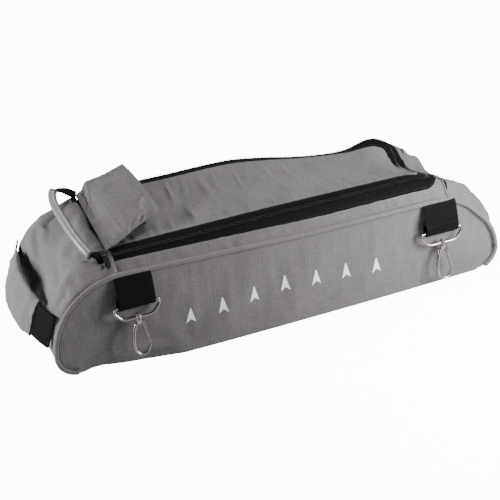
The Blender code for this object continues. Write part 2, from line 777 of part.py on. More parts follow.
def gate_mesh():
    """The sprung gate, about its pivot."""
    outline = [(-1.6, 0, 1.7), (1.4, 0, 1.7), (2.3, 0, -1.0),
               (5.8, 0, -25.2), (3.4, 0, -25.2), (-1.6, 0, -1.0)]
    bar = prism(outline, 2.4, (0, 1, 0))
    return built(bar, [("DIFFERENCE", rod((0, -4, 0), (0, 4, 0), GATE_BORE))])


def make_clips(frames):
    """Four clips: webbing, wire loop, swivel hook, gate and the gate's pin."""
    strap = strap_mesh()
    loop = loop_mesh()
    hook = hook_mesh()
    gate = gate_mesh()
    pin = mesh_from(*rod((0, -2.8, 0), (0, 2.8, 0), PIN_RADIUS))
    for face, frame in frames.items():
        for side, along in (("left", CLIP_LEFT), ("right", CLIP_RIGHT)):
            name = f"{face}_{side}"
            place = along * (1 if face == "front" else -BACK_SHARE)
            height = outline_height(along) / math.cos(PANEL_LEAN) - STRAP_INSET
            root = bpy.data.objects.new(f"{name}_clip", None)
            hang = bpy.data.objects.new(f"{name}_hang", None)
            for empty in (root, hang):
                bpy.context.scene.collection.objects.link(empty)
            root.parent = frame
            root.location = Vector((place, -STRAP_INSET, height)) * MM
            hang.parent = root
            hang.location = Vector((0, -BAR_REACH, -STRAP_LENGTH)) * MM
            hang.rotation_euler = Euler((-HANG_ANGLE, 0, 0))
            add_object(f"{name}_strap", strap.copy(), webbing(), parent=root)
            add_object(f"{name}_loop", loop.copy(), nickel(), parent=hang)
            post = (0, 0, -LOOP_DROP)
            pivot = (GATE_PLACE[0], 0, GATE_PLACE[1] - LOOP_DROP)
            add_object(f"{name}_hook", hook.copy(), nickel(), origin=post, parent=hang)
            add_object(f"{name}_gate", gate.copy(), nickel(), origin=pivot, parent=hang)
            add_object(f"{name}_gate_pin", pin.copy(), nickel(), origin=pivot, parent=hang)


SLIDER_X = -222.5
SLIDER_LIFT = 2.1
PULL_SLOPE = 0.75


def make_slider():
    """The zip's slider and its pull tab, parked at the left end of the front run."""
    ground = 138.0 + COIL_RADIUS + SLIDER_LIFT
    origin = Vector((SLIDER_X, -ZIP_Y, ground))
    body = prism([(SLIDER_X - 4, -ZIP_Y - 4.5, ground + 1.2), (SLIDER_X + 2, -ZIP_Y - 4.5, ground + 1.2),
                  (SLIDER_X + 5, -ZIP_Y, ground + 1.2), (SLIDER_X + 2, -ZIP_Y + 4.5, ground + 1.2),
                  (SLIDER_X - 4, -ZIP_Y + 4.5, ground + 1.2)], 2.4, (0, 0, 1))
    add_object("zip_slider", mesh_from(*body, origin=origin), nickel(), origin=origin)
    pivot = Vector((SLIDER_X, -ZIP_Y - 6.2, ground + 1.0))
    slope = Vector((0, -math.cos(PULL_SLOPE), -math.sin(PULL_SLOPE)))
    face = Vector((0, math.sin(PULL_SLOPE), -math.cos(PULL_SLOPE)))
    outline = []
    for x, d in ((-3, 0), (3, 0), (3.4, 11), (1.8, 14), (-1.8, 14), (-3.4, 11)):
        outline.append(pivot + Vector((x, 0, 0)) + slope * d)
    add_object("zip_pull", mesh_from(*prism(outline, 1.4, face), origin=pivot), nickel(), origin=pivot)


def main():
    for old in list(bpy.data.objects):
        bpy.data.objects.remove(old)
    frames = {"front": panel_frame(False), "back": panel_frame(True)}
    make_base()
    make_panels(frames)
    make_gussets()
    make_top()
    make_lid()
    make_flap()
    make_right_seam()
    make_grab_handle()
    make_end_handle()
    make_clips(frames)
    make_slider()


main()
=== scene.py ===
"""Looks of the clip-on bowling shoe bag: sewn cloth, webbing, zip and nickel hardware."""
import math

import bpy
import bmesh
from mathutils import Euler, Matrix, Vector, noise


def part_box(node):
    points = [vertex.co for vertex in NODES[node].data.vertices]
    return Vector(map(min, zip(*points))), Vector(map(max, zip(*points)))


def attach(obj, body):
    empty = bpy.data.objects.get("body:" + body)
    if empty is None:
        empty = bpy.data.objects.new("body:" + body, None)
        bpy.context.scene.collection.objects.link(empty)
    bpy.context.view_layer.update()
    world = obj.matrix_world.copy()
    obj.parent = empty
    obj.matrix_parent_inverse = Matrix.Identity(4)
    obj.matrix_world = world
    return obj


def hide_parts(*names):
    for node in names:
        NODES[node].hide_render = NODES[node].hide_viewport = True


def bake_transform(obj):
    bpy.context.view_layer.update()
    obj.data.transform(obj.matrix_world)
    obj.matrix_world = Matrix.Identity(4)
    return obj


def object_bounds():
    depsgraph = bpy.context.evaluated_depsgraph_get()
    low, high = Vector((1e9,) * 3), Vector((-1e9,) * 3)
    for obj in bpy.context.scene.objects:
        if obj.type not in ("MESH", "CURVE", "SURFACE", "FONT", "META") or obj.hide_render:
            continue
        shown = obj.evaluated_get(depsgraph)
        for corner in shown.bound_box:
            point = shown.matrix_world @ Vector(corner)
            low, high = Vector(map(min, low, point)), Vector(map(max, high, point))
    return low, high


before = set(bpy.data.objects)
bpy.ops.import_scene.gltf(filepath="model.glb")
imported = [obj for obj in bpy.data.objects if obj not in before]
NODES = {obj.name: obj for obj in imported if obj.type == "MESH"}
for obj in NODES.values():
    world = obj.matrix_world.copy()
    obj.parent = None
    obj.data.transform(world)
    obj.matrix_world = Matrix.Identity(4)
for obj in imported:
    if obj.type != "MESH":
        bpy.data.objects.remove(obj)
cad_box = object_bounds()
MM = 0.001

# The bag's shape, in millimetres, as the CAD model has it.
BASE_WIDTH = 180.0
PANEL_LEAN = math.radians(8.0)
BACK_SHARE = 0.91
PIPING_RADIUS = 2.9
OUTLINE = (
    (-297.0, 12.5, 26.0), (-303.0, 126.5, 84.0), (25.0, 113.0, 500.0),
    (240.0, 112.0, 80.0), (298.5, 54.0, 72.0), (298.5, 1.3, 28.0),
)
LIFT_START = -185.0
LIFT_LENGTH = 66.0
LIFT = 9.0
TOP_PROFILE = (
    (-262.0, 128.0, 138.0, 139.5, 141.0), (-240.0, 136.0, 146.0, 148.5, 150.0),
    (-214.0, 138.0, 148.5, 154.5, 159.0), (-100.0, 138.0, 149.0, 155.0, 159.0),
    (-20.0, 138.0, 148.0, 154.0, 158.0), (30.0, 138.0, 145.0, 149.0, 150.0),
    (70.0, 138.0, 141.5, 144.0, 141.0), (110.0, 138.0, 138.5, 140.0, 134.0),
    (150.0, 138.0, 134.0, 134.0, 131.5), (184.0, 138.0, 128.0, 125.0, 139.0),
    (206.0, 134.0, 118.0, 112.0, 131.0), (228.0, 126.0, 106.0, 98.0, 114.0),
    (250.0, 114.0, 92.0, 86.0, 96.0),
)
PROFILE_Y = (-54.0, 0.0, 30.0, 54.0)
ZIP_Y = 54.0
ZIP_LEFT = -212.0
ZIP_RIGHT = 215.0
ZIP_CORNER = 14.0
TAPE_WIDTH = 8.5
TAPE_START = 3.2
LID_SEAM_X = -213.0
SEAM_X = 229.0
LEFT_SWELL = 10.0
RIGHT_SWELL = 1.0
MOST_RISE = (20.0, 46.0)
SEAM_FLAT = 26.0
CLIP_LEFT = -197.0
CLIP_RIGHT = 214.0
STRAP_INSET = 4.4
BAR_REACH = 4.0
STRAP_LENGTH = 34.0
STRAP_WIDTH = 46.0
HANG_ANGLE = math.radians(10.0)
LOOP_DROP = 16.0
BASE_BULGE = 4.5
BASE_LEFT = -270.0
BASE_RIGHT = 271.0


# ---------------------------------------------------------------- shape functions
def clamped(value):
    """A share kept between 0 and 1."""
    return max(0.0, min(1.0, value))


def bumpy(x, y, z):
    """Smooth noise at a place."""
    return noise.noise(Vector((x, y, z)))


def smooth_value(table, column, x):
    """Reads a smooth curve through a table's column at x."""
    if x <= table[0][0]:
        return table[0][column]
    if x >= table[-1][0]:
        return table[-1][column]
    k = max(i for i in range(len(table) - 1) if table[i][0] <= x)

    def slope(i):
        low = table[max(i - 1, 0)]
        high = table[min(i + 1, len(table) - 1)]
        return (high[column] - low[column]) / (high[0] - low[0])

    width = table[k + 1][0] - table[k][0]
    t = (x - table[k][0]) / width
    start = table[k][column]
    end = table[k + 1][column]
    return ((2 * t**3 - 3 * t**2 + 1) * start + (t**3 - 2 * t**2 + t) * width * slope(k)
            + (3 * t**2 - 2 * t**3) * end + (t**3 - t**2) * width * slope(k + 1))


def smooth_path(points, steps, closed=False):
    """A Catmull-Rom curve through points, with steps pieces between each two."""
    p = [Vector(q) for q in points]
    ends = [p[-1]] + p + [p[0], p[1]] if closed else [2 * p[0] - p[1]] + p + [2 * p[-1] - p[-2]]
    path = []
    for k in range(1, len(ends) - 2):
        a, b, c, d = ends[k - 1:k + 3]
        for i in range(steps):
            t = i / steps
            path.append(0.5 * (2 * b + (c - a) * t + (2 * a - 5 * b + 4 * c - d) * t * t
                               + (3 * b - a - 3 * c + d) * t**3))
    return path if closed else path + [p[-1]]


def filleted(corners, step):
    """Points and outward normals along an open line through corners, each rounded by its radius."""
    flat = [Vector((x, z)) for x, z, _ in corners]
    closed = flat + [flat[0], flat[1]]
    stations = []
    for k in range(len(corners)):
        here = flat[k]
        back = (closed[k - 1] if k else flat[-1]) - here
        ahead = closed[k + 1] - here
        back.normalize()
        ahead.normalize()
        half = back.angle(ahead) / 2
        radius = corners[k][2]
        reach = radius / math.tan(half)
        centre = here + (back + ahead).normalized() * radius / math.sin(half)
        start = here + back * reach - centre
        end = here + ahead * reach - centre
        outward = 1 if back.x * ahead.y - back.y * ahead.x > 0 else -1
        pieces = max(4, math.ceil(math.degrees(start.angle(end)) / 5))
        for i in range(pieces + 1):
            spoke = start.normalized().slerp(end.normalized(), i / pieces)
            stations.append((centre + spoke * radius, spoke * outward))
    full = [stations[0]]
    for there in stations[1:]:
        gap = (there[0] - full[-1][0]).length
        pieces = max(1, round(gap / step))
        begin = full[-1]
        for i in range(1, pieces + 1):
            t = i / pieces
            normal = begin[1].lerp(there[1], t).normalized()
            full.append((begin[0].lerp(there[0], t), normal))
    return full


FRONT_LINE = filleted(OUTLINE, 5.0)
LENGTHS = [0.0]
for (low, _), (high, _) in zip(FRONT_LINE, FRONT_LINE[1:]):
    LENGTHS.append(LENGTHS[-1] + (high - low).length)


def line_at(length):
    """The outline's point and outward normal at a length along it."""
    low = 0
    high = len(LENGTHS) - 2
    while low < high:
        middle = (low + high + 1) // 2
        if LENGTHS[middle] <= length + 1e-6:
            low = middle
        else:
            high = middle - 1
    t = clamped((length - LENGTHS[low]) / (LENGTHS[low + 1] - LENGTHS[low]))
    (a, a_normal), (b, b_normal) = FRONT_LINE[low], FRONT_LINE[low + 1]
    return a.lerp(b, t), a_normal.lerp(b_normal, t).normalized()


def crossing(x):
    """Length along the outline where its top side passes x."""
    for k in range(len(FRONT_LINE) - 1):
        (a, normal), (b, _) = FRONT_LINE[k], FRONT_LINE[k + 1]
        if normal.y > 0 and a.x <= x <= b.x:
            return LENGTHS[k] + (LENGTHS[k + 1] - LENGTHS[k]) * (x - a.x) / (b.x - a.x)
    raise ValueError(f"the outline's top doesn't reach {x}")


def panel_y(z):
    """How far the leaning front and back panels stand from the middle at a height."""
    return BASE_WIDTH / 2 - z * math.tan(PANEL_LEAN)


PIPING_Y = panel_y(120.0)
TOP_LINE = [p for p, normal in FRONT_LINE if normal.y > 0.3]


def taper(y):
    """The share of the front's length that the bag has at y."""
    share = (y + PIPING_Y) / (2 * PIPING_Y)
    return 1 - (1 - BACK_SHARE) * share


def outline_height(x):
    """Height of the panels' outline at a place on its top side."""
    for a, b in zip(TOP_LINE, TOP_LINE[1:]):
        if a.x <= x <= b.x:
            return a.y + (b.y - a.y) * (x - a.x) / (b.x - a.x)
    return TOP_LINE[0].y if x < TOP_LINE[0].x else TOP_LINE[-1].y


def top_height(x, y):
    """Height of the bag's soft top over a place in plan."""
    edge = outline_height(x / taper(y))
    heights = [smooth_value(TOP_PROFILE, c + 1, x) for c in range(len(PROFILE_Y))]
    section = [(-PIPING_Y, edge), *zip(PROFILE_Y, heights), (PIPING_Y, edge)]
    soft = smooth_value(section, 1, y)
    if abs(y) >= ZIP_Y:
        return soft
    straight = heights[0] + (heights[-1] - heights[0]) * (y + ZIP_Y) / (2 * ZIP_Y)
    near = max(0.0, 1 - abs(x - LID_SEAM_X) / SEAM_FLAT)
    return soft + (straight - soft) * near * near * (3 - 2 * near)


def base_lift(x):
    """How high the base stands off the ground at a place along the front."""
    return LIFT * clamped((LIFT_START - x) / LIFT_LENGTH) ** 1.6


def end_point(station, y):
    """A point of an end gusset: the outline carried across the bag and swelled along its normal."""
    flat, normal = station
    x = max(TOP_PROFILE[0][0], min(TOP_PROFILE[-1][0], flat.x * taper(y)))
    most = MOST_RISE[0] + (MOST_RISE[1] - MOST_RISE[0]) * max(0.0, y) / ZIP_Y
    swell = min(most, top_height(x, y) - outline_height(x / taper(y)))
    share = clamped((normal.y + 0.15) / 1.15)
    share = share * share * (3 - 2 * share)
    most = LEFT_SWELL if flat.x < 0 else RIGHT_SWELL
    side_swell = most * (1 - (y / PIPING_Y) ** 2) * clamped((flat.y - 6) / 50)
    rise = share * swell + (1 - share) * max(0.0, side_swell)
    depth = panel_y(flat.y) / PIPING_Y
    return Vector((flat.x * taper(y) + normal.x * rise, y * depth, flat.y + normal.y * rise))


def on_top(x, y, lift=0.0):
    """A point on the bag's top, or above it."""
    return Vector((x, y, top_height(x, y) + lift))


def zip_line(offset, step=5.0):
    """The zip's centre line in plan, moved inward by an offset, with its corners rounded."""
    y = ZIP_Y - offset
    right = ZIP_RIGHT - offset
    radius = ZIP_CORNER - offset
    places = []
    runs = round((ZIP_RIGHT - ZIP_CORNER - ZIP_LEFT) / step)
    for k in range(runs):
        places.append((ZIP_LEFT + (right - radius - ZIP_LEFT) * k / runs, -y))
    for k in range(13):
        turn = math.pi / 24 * k
        places.append((right - radius + radius * math.sin(turn), -y + radius - radius * math.cos(turn)))
    across = 8
    for k in range(1, across + 1):
        places.append((right, (-y + radius) * (1 - k / across)))
    return places + [(x, -v) for x, v in reversed(places[:-1])]


# ---------------------------------------------------------------- mesh helpers
def linked(name, data):
    """A new object in the scene."""
    obj = bpy.data.objects.new(name, data)
    bpy.context.scene.collection.objects.link(obj)
    return obj


def piece(name, points, faces, look, body, crease=40.0):
    """Makes a visible object from points in millimetres and fastens it to a body, if one is named."""
    mesh = bpy.data.meshes.new(name)
    bm = bmesh.new()
    verts = [bm.verts.new(Vector(p) * MM) for p in points]
    for face in faces:
        bm.faces.new([verts[i] for i in face])
    bmesh.ops.recalc_face_normals(bm, faces=bm.faces)
    if bm.calc_volume(signed=True) < 0:
        bmesh.ops.reverse_faces(bm, faces=bm.faces)
    bm.to_mesh(mesh)
    bm.free()
    mesh.shade_smooth()
    mesh.set_sharp_from_angle(angle=math.radians(crease))
    mesh.materials.append(look)
    obj = linked(name, mesh)
    if body:
        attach(obj, body)
    return obj


def stand_in(name):
    """Hides the CAD node that a new piece stands in for."""
    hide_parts(name)


def paint(name, look):
    """Gives a CAD node a material."""
    mesh = NODES[name].data
    mesh.materials.clear()
    mesh.materials.append(look)


def slab(grid, thickness, roll=True):
    """Points and faces of a cloth with a thickness and a rounded cut edge, from its middle surface."""
    rows = len(grid)
    columns = len(grid[0])
    upper = []
    lower = []
    for i in range(rows):
        for j in range(columns):
            along = grid[min(i + 1, rows - 1)][j] - grid[max(i - 1, 0)][j]
            across = grid[i][min(j + 1, columns - 1)] - grid[i][max(j - 1, 0)]
            edge = roll and (i in (0, rows - 1) or j in (0, columns - 1))
            normal = along.cross(across).normalized() * (thickness / 2) * (0.55 if edge else 1.0)
            upper.append(grid[i][j] + normal)
            lower.append(grid[i][j] - normal)
    count = rows * columns
    faces = []
    for i in range(rows - 1):
        for j in range(columns - 1):
            a = i * columns + j
            quad = (a, a + 1, a + columns + 1, a + columns)
            faces.append(quad)
            faces.append(tuple(count + k for k in reversed(quad)))
    rim = [j for j in range(columns)]
    rim += [i * columns + columns - 1 for i in range(1, rows)]
    rim += [(rows - 1) * columns + j for j in range(columns - 2, -1, -1)]
    rim += [i * columns for i in range(rows - 2, 0, -1)]
    for k, a in enumerate(rim):
        b = rim[(k + 1) % len(rim)]
        faces.append((a, b, count + b, count + a))
    return upper + lower, faces


def sweep(path, sections, up, closed=False, bore=None):
    """Sweeps a section (one list of side, up offsets, or one for each point) along a path."""
    count = len(path)
    each = sections if isinstance(sections[0], list) else [sections] * count
    sides = len(each[0])
    points = []
    for shape in (each, [bore] * count if bore else None):
        if shape is None:
            continue
        for i, point in enumerate(path):
            before = path[(i - 1) % count] if closed else path[max(i - 1, 0)]
            after = path[(i + 1) % count] if closed else path[min(i + 1, count - 1)]
            tangent = (after - before).normalized()
            side = tangent.cross(Vector(up)).normalized()
            top = side.cross(tangent)
            points += [point + side * a + top * b for a, b in shape[i]]
    faces = []
    steps = count if closed else count - 1
    for shell in range(2 if bore else 1):
        first = shell * count * sides
        for i in range(steps):
            for j in range(sides):
                a = first + i * sides + j
                b = first + i * sides + (j + 1) % sides
                c = first + ((i + 1) % count) * sides + (j + 1) % sides
                d = first + ((i + 1) % count) * sides + j
                faces.append((a, b, c, d))
    if closed:
        return points, faces
    last = (count - 1) * sides
    if bore:
        inner = count * sides
        for end in (0, last):
            for j in range(sides):
                k = (j + 1) % sides
                faces.append((end + j, end + k, inner + end + k, inner + end + j))
    else:
        faces.append(tuple(range(sides)))
        faces.append(tuple(last + j for j in range(sides)))
    return points, faces


def circle(radius, sides):
    turns = [2 * math.pi * (k + 0.5) / sides for k in range(sides)]
    return [(radius * math.cos(t), radius * math.sin(t)) for t in turns]


def oblong(width, height, steps=4, share=0.5):
    """A rectangle with rounded corners, as a section of a sweep."""
    radius = min(width, height) * share * 0.98
    outline = []
    for corner, (sx, sy) in enumerate(((1, 1), (-1, 1), (-1, -1), (1, -1))):
        for k in range(steps + 1):
            turn = math.pi / 2 * (corner + k / steps)
            outline.append((sx * (width / 2 - radius) + radius * math.cos(turn),
                            sy * (height / 2 - radius) + radius * math.sin(turn)))
    return outline


def prism(outline, depth, axis):
    """Extrudes a closed outline of points by a depth vector."""
    move = Vector(axis) * depth
    near = [Vector(p) - move / 2 for p in outline]
    far = [p + move for p in near]
    count = len(outline)
    faces = [tuple(range(count)), tuple(range(2 * count - 1, count - 1, -1))]
    faces += [(k, (k + 1) % count, count + (k + 1) % count, count + k) for k in range(count)]
    return near + far, faces


def merged(*shapes):
    """Several shapes as one list of points and faces."""
    points = []
    faces = []
    for more_points, more_faces in shapes:
        base = len(points)
        points += [Vector(p) for p in more_points]
        faces += [tuple(base + i for i in face) for face in more_faces]
    return points, faces


def moved(shape, matrix):
    """A shape carried by a matrix whose translation is in millimetres."""
    points, faces = shape
    return [matrix @ Vector(p) for p in points], faces


def stitches(path, up, pitch=3.4, length=2.5, radius=0.32):
    """A row of separate stitches lying on a path."""
    shapes = []
    walked = pitch / 2
    passed = 0.0
    for a, b in zip(path, path[1:]):
        gap = (b - a).length
        while walked < passed + gap:
            centre = a.lerp(b, (walked - passed) / gap)
            along = (b - a).normalized()
            side = along.cross(Vector(up)).normalized() * radius
            top = Vector(up).normalized() * radius
            ends = [centre - along * length / 2, centre + along * length / 2]
            ring = [centre + side, centre + top, centre - side, centre - top]
            points = [ends[0]] + ring + [ends[1]]
            faces = [(0, 1 + k, 1 + (k + 1) % 4) for k in range(4)]
            faces += [(5, 1 + (k + 1) % 4, 1 + k) for k in range(4)]
            shapes.append((points, faces))
            walked += pitch
        passed += gap
    return merged(*shapes)


# ---------------------------------------------------------------- cloth
WRINKLE = 1.5
SLOW_ROUNDS = 60
CLOTH_STIFFNESS = 6.0
CLOTH_FRAMES = 16
# The left gusset's creases stand out by no more than this, so they stay off the end handle's webbing.
GUSSET_SWELL = 0.4
# Where each cloth's creases start in the noise.
SEEDS = {"front": 7.7, "back": 3.1, "left_gusset": 2.3, "right_gusset": 5.9, "lid": 11.0, "flap": 6.4}


def settle(grid, growth, gravity, cap, sag=0.0):
    """Wrinkles a cloth held by its rim by simulation: sag is the share of its slow sinking that stays."""
    rows = len(grid)
    columns = len(grid[0])
    mesh = bpy.data.meshes.new("cloth")
    points = [p * MM for row in grid for p in row]
    quads = []
    for i in range(rows - 1):
        for j in range(columns - 1):
            a = i * columns + j
            quads.append((a, a + 1, a + columns + 1, a + columns))
    mesh.from_pydata(points, [], quads)
    obj = linked("cloth", mesh)
    rim = obj.vertex_groups.new(name="rim")
    held = [i * columns + j for i in range(rows) for j in range(columns)
            if i in (0, rows - 1) or j in (0, columns - 1)]
    rim.add(held, 1.0, "REPLACE")
    cloth = obj.modifiers.new("cloth", "CLOTH")
    facts = cloth.settings
    facts.quality = 6
    facts.mass = 0.25
    facts.tension_stiffness = CLOTH_STIFFNESS
    facts.compression_stiffness = CLOTH_STIFFNESS
    facts.shear_stiffness = CLOTH_STIFFNESS
    facts.bending_stiffness = 0.4
    facts.air_damping = 2.0
    facts.shrink_min = -growth
    facts.shrink_max = -growth
    facts.vertex_group_mass = "rim"
    facts.effector_weights.gravity = gravity
    cloth.collision_settings.use_collision = False
    cloth.point_cache.frame_start = 1
    cloth.point_cache.frame_end = CLOTH_FRAMES
    scene = bpy.context.scene
    for number in range(1, CLOTH_FRAMES + 1):
        scene.frame_set(number)
    graph = bpy.context.evaluated_depsgraph_get()
    done = obj.evaluated_get(graph)
    after = [v.co / MM for v in done.data.vertices]
    scene.frame_set(1)
    bpy.data.objects.remove(obj)
    ways = [[after[i * columns + j] - grid[i][j] for j in range(columns)] for i in range(rows)]
    slow = smoothed(ways, SLOW_ROUNDS)
    result = []
    for i in range(rows):
        row = []
        for j in range(columns):
            way = (ways[i][j] - slow[i][j] * (1 - sag)) * WRINKLE
            if way.length > cap:
                way = way.normalized() * cap
            row.append(grid[i][j] + way)
        result.append(row)
    return result


def declare_cloth(cut):
    """Works out a cloth's size and area before it was sewn in, from its unwrinkled grid; nothing uses them.
    """
    widest = max(sum((b - a).length for a, b in zip(row, row[1:])) for row in cut) * MM
    longest = max(sum((b[j] - a[j]).length for a, b in zip(cut, cut[1:])) for j in range(len(cut[0]))) * MM
    area = 0.0
    for near, far in zip(cut, cut[1:]):
        for j in range(len(near) - 1):
            area += (far[j + 1] - near[j]).cross(far[j] - near[j + 1]).length / 2 * MM * MM
    area = min(area, widest * longest)


def smoothed(grid, rounds=1):
    """Evens a grid out, leaving its rim where it is."""
    rows = len(grid)
    columns = len(grid[0])
    for _ in range(rounds):
        fresh = [list(row) for row in grid]
        for i in range(1, rows - 1):
            for j in range(1, columns - 1):
                around = grid[i - 1][j] + grid[i + 1][j] + grid[i][j - 1] + grid[i][j + 1]
                fresh[i][j] = grid[i][j] * 0.5 + around * 0.125
        grid = fresh
    return grid


def crease(point, seed, size, height):
    """A soft ridged noise, as creases that run through cloth."""
    value = bumpy(point.x / size + seed, point.y / size, point.z / size - seed)
    return (1 - abs(value) * 2.6) * height


def folds(grid, seed, height, fade):
    """Moves an upright cloth's points by long soft folds that run down from its upper edge at a slant."""
    result = []
    for i, column in enumerate(grid):
        row = []
        for j, point in enumerate(column):
            along = (point.x * 0.75 + point.z * 0.66) / 115.0
            across_it = (point.z * 0.75 - point.x * 0.66) / 42.0
            way = bumpy(along + seed, across_it, seed) * 1.6
            near = min(i, len(grid) - 1 - i, j, len(column) - 1 - j)
            out = math.copysign(1.0, point.y)
            row.append(point + Vector((0, out * way * height * min(1.0, near / fade), 0)))
        result.append(row)
    return result


def rumple(grid, seed, size, height, direction=None, *, fade):
    """Moves a cloth's points by ridged noise, fading toward its rim."""
    rows = len(grid)
    columns = len(grid[0])
    result = []
    for i in range(rows):
        row = []
        for j in range(columns):
            along = grid[min(i + 1, rows - 1)][j] - grid[max(i - 1, 0)][j]
            across = grid[i][min(j + 1, columns - 1)] - grid[i][max(j - 1, 0)]
            normal = Vector(direction) if direction else along.cross(across).normalized()
            near = min(i, rows - 1 - i, j, columns - 1 - j)
            share = min(1.0, near / fade)
            row.append(grid[i][j] + normal * crease(grid[i][j], seed, size, height) * share)
        result.append(row)
    return result


# ---------------------------------------------------------------- materials
def node(tree, kind, **values):
    made = tree.nodes.new(kind)
    for name, value in values.items():
        if name in made.inputs:
            made.inputs[name].default_value = value
        else:
            setattr(made, name, value)
    return made


def shader_of(material):
    return material.node_tree.nodes["Principled BSDF"]


def blank(name, roughness, metallic=0.0, **facts):
    """A new node material with its plain values set on the shader."""
    material = bpy.data.materials.new(name)
    material.use_nodes = True
    shader = shader_of(material)
    shader.inputs["Roughness"].default_value = roughness
    shader.inputs["Metallic"].default_value = metallic
    for key, value in facts.items():
        shader.inputs[key.replace("_", " ")].default_value = value
    return material


def mix(tree, blend, factor, a, b):
    made = node(tree, "ShaderNodeMix", data_type="RGBA", blend_type=blend)
    made.inputs[0].default_value = factor
    for slot, value in ((6, a), (7, b)):
        if isinstance(value, tuple):
            made.inputs[slot].default_value = value
        else:
            tree.links.new(value, made.inputs[slot])
    return made.outputs[2]


def scaled_coords(tree, scale):
    coords = node(tree, "ShaderNodeTexCoord")
    mapping = node(tree, "ShaderNodeMapping")
    mapping.inputs["Scale"].default_value = scale
    tree.links.new(coords.outputs["Object"], mapping.inputs["Vector"])
    return mapping.outputs["Vector"]


def parts_of(material):
    """A material's node tree, its shader and the object's own coordinates."""
    tree = material.node_tree
    return tree, shader_of(material), scaled_coords(tree, (1, 1, 1))


def relief_from(tree, shader, height, strength, distance):
    """Bumps a shader by a height."""
    relief = node(tree, "ShaderNodeBump", Strength=strength, Distance=distance)
    tree.links.new(height, relief.inputs["Height"])
    tree.links.new(relief.outputs["Normal"], shader.inputs["Normal"])


def noisy(tree, vector, scale, detail, **facts):
    """A noise texture's value over a coordinate."""
    made = node(tree, "ShaderNodeTexNoise", Scale=scale, Detail=detail, **facts)
    tree.links.new(vector, made.inputs["Vector"])
    return made.outputs["Fac"]


def ramp(tree, source, low, high, dark, light):
    made = node(tree, "ShaderNodeValToRGB")
    made.color_ramp.elements[0].position = low
    made.color_ramp.elements[1].position = high
    made.color_ramp.elements[0].color = (*dark, 1)
    made.color_ramp.elements[1].color = (*light, 1)
    tree.links.new(source, made.inputs["Fac"])
    return made.outputs["Color"]


def woven(name, dark, light, pitch, sheen=0.25, bump=0.35):
    """A woven cloth: crossing threads, flecks of lighter yarn, and a slow change of tone."""
    material = blank(name, 0.82, Sheen_Weight=sheen, Sheen_Roughness=0.45, Specular_IOR_Level=0.3)
    tree, shader, vector = parts_of(material)
    flecks = noisy(tree, vector, 1.1 / pitch, 3.0, Roughness=0.7)
    colour = ramp(tree, flecks, 0.36, 0.66, dark, light)
    slow = noisy(tree, vector, 9.0, 2.0, Roughness=0.5)
    tone = ramp(tree, slow, 0.3, 0.75, (0.86, 0.86, 0.87), (1.0, 1.0, 1.0))
    colour = mix(tree, "MULTIPLY", 1.0, colour, tone)
    threads = []
    for scale in ((1, 0.05, 0.05), (0.05, 0.6, 1)):
        thread = noisy(tree, scaled_coords(tree, scale), 1.0 / pitch, 2.0, Roughness=0.6)
        threads.append(thread)
        streak = ramp(tree, thread, 0.35, 0.65, (0.84, 0.84, 0.84), (1.0, 1.0, 1.0))
        colour = mix(tree, "MULTIPLY", 0.8, colour, streak)
    tree.links.new(colour, shader.inputs["Base Color"])
    total = node(tree, "ShaderNodeMath", operation="ADD")
    tree.links.new(threads[0], total.inputs[0])
    tree.links.new(threads[1], total.inputs[1])
    relief_from(tree, shader, total.outputs[0], bump, pitch * 0.4)
    return material


def ribbed(name, colour, rib, direction, light=(0.05, 0.05, 0.053)):
    """Woven webbing with ribs across a direction."""
    material = blank(name, 0.7, Sheen_Weight=0.01, Specular_IOR_Level=0.07)
    tree, shader, vector = parts_of(material)
    wave = node(tree, "ShaderNodeTexWave", Scale=0.314 / rib, Distortion=0.6, Detail=2.0)
    wave.inputs["Detail Scale"].default_value = 3.0
    wave.bands_direction = direction
    tree.links.new(vector, wave.inputs["Vector"])
    colours = ramp(tree, wave.outputs["Fac"], 0.2, 0.9, colour, light)
    fuzz = noisy(tree, vector, 700.0, 3.0)
    lint = ramp(tree, fuzz, 0.4, 0.75, (0.7, 0.7, 0.7), (1.25, 1.25, 1.3))
    colours = mix(tree, "MULTIPLY", 1.0, colours, lint)
    tree.links.new(colours, shader.inputs["Base Color"])
    relief_from(tree, shader, wave.outputs["Fac"], 0.5, 0.0004)
    return material


def metal(name, colour, roughness):
    """Plated metal with dull patches that are darker and rougher."""
    material = blank(name, roughness, 1.0)
    tree, shader, vector = parts_of(material)
    dull = noisy(tree, vector, 160.0, 4.0, Roughness=0.6)
    tone = ramp(tree, dull, 0.3, 0.7, tuple(c * 0.72 for c in colour), colour)
    tree.links.new(tone, shader.inputs["Base Color"])
    rough = ramp(tree, dull, 0.35, 0.7, (roughness * 1.6,) * 3, (roughness * 0.8,) * 3)
    tree.links.new(rough, shader.inputs["Roughness"])
    return material


def smooth_plastic(name, dark, light, roughness, grain=500.0, bump=0.1, **facts):
    """Moulded plastic or rubber with a fine grain."""
    material = blank(name, roughness, **facts)
    tree, shader, vector = parts_of(material)
    grains = noisy(tree, vector, grain, 3.0)
    tree.links.new(ramp(tree, grains, 0.3, 0.7, dark, light), shader.inputs["Base Color"])
    relief_from(tree, shader, grains, bump, 0.0003)
    return material


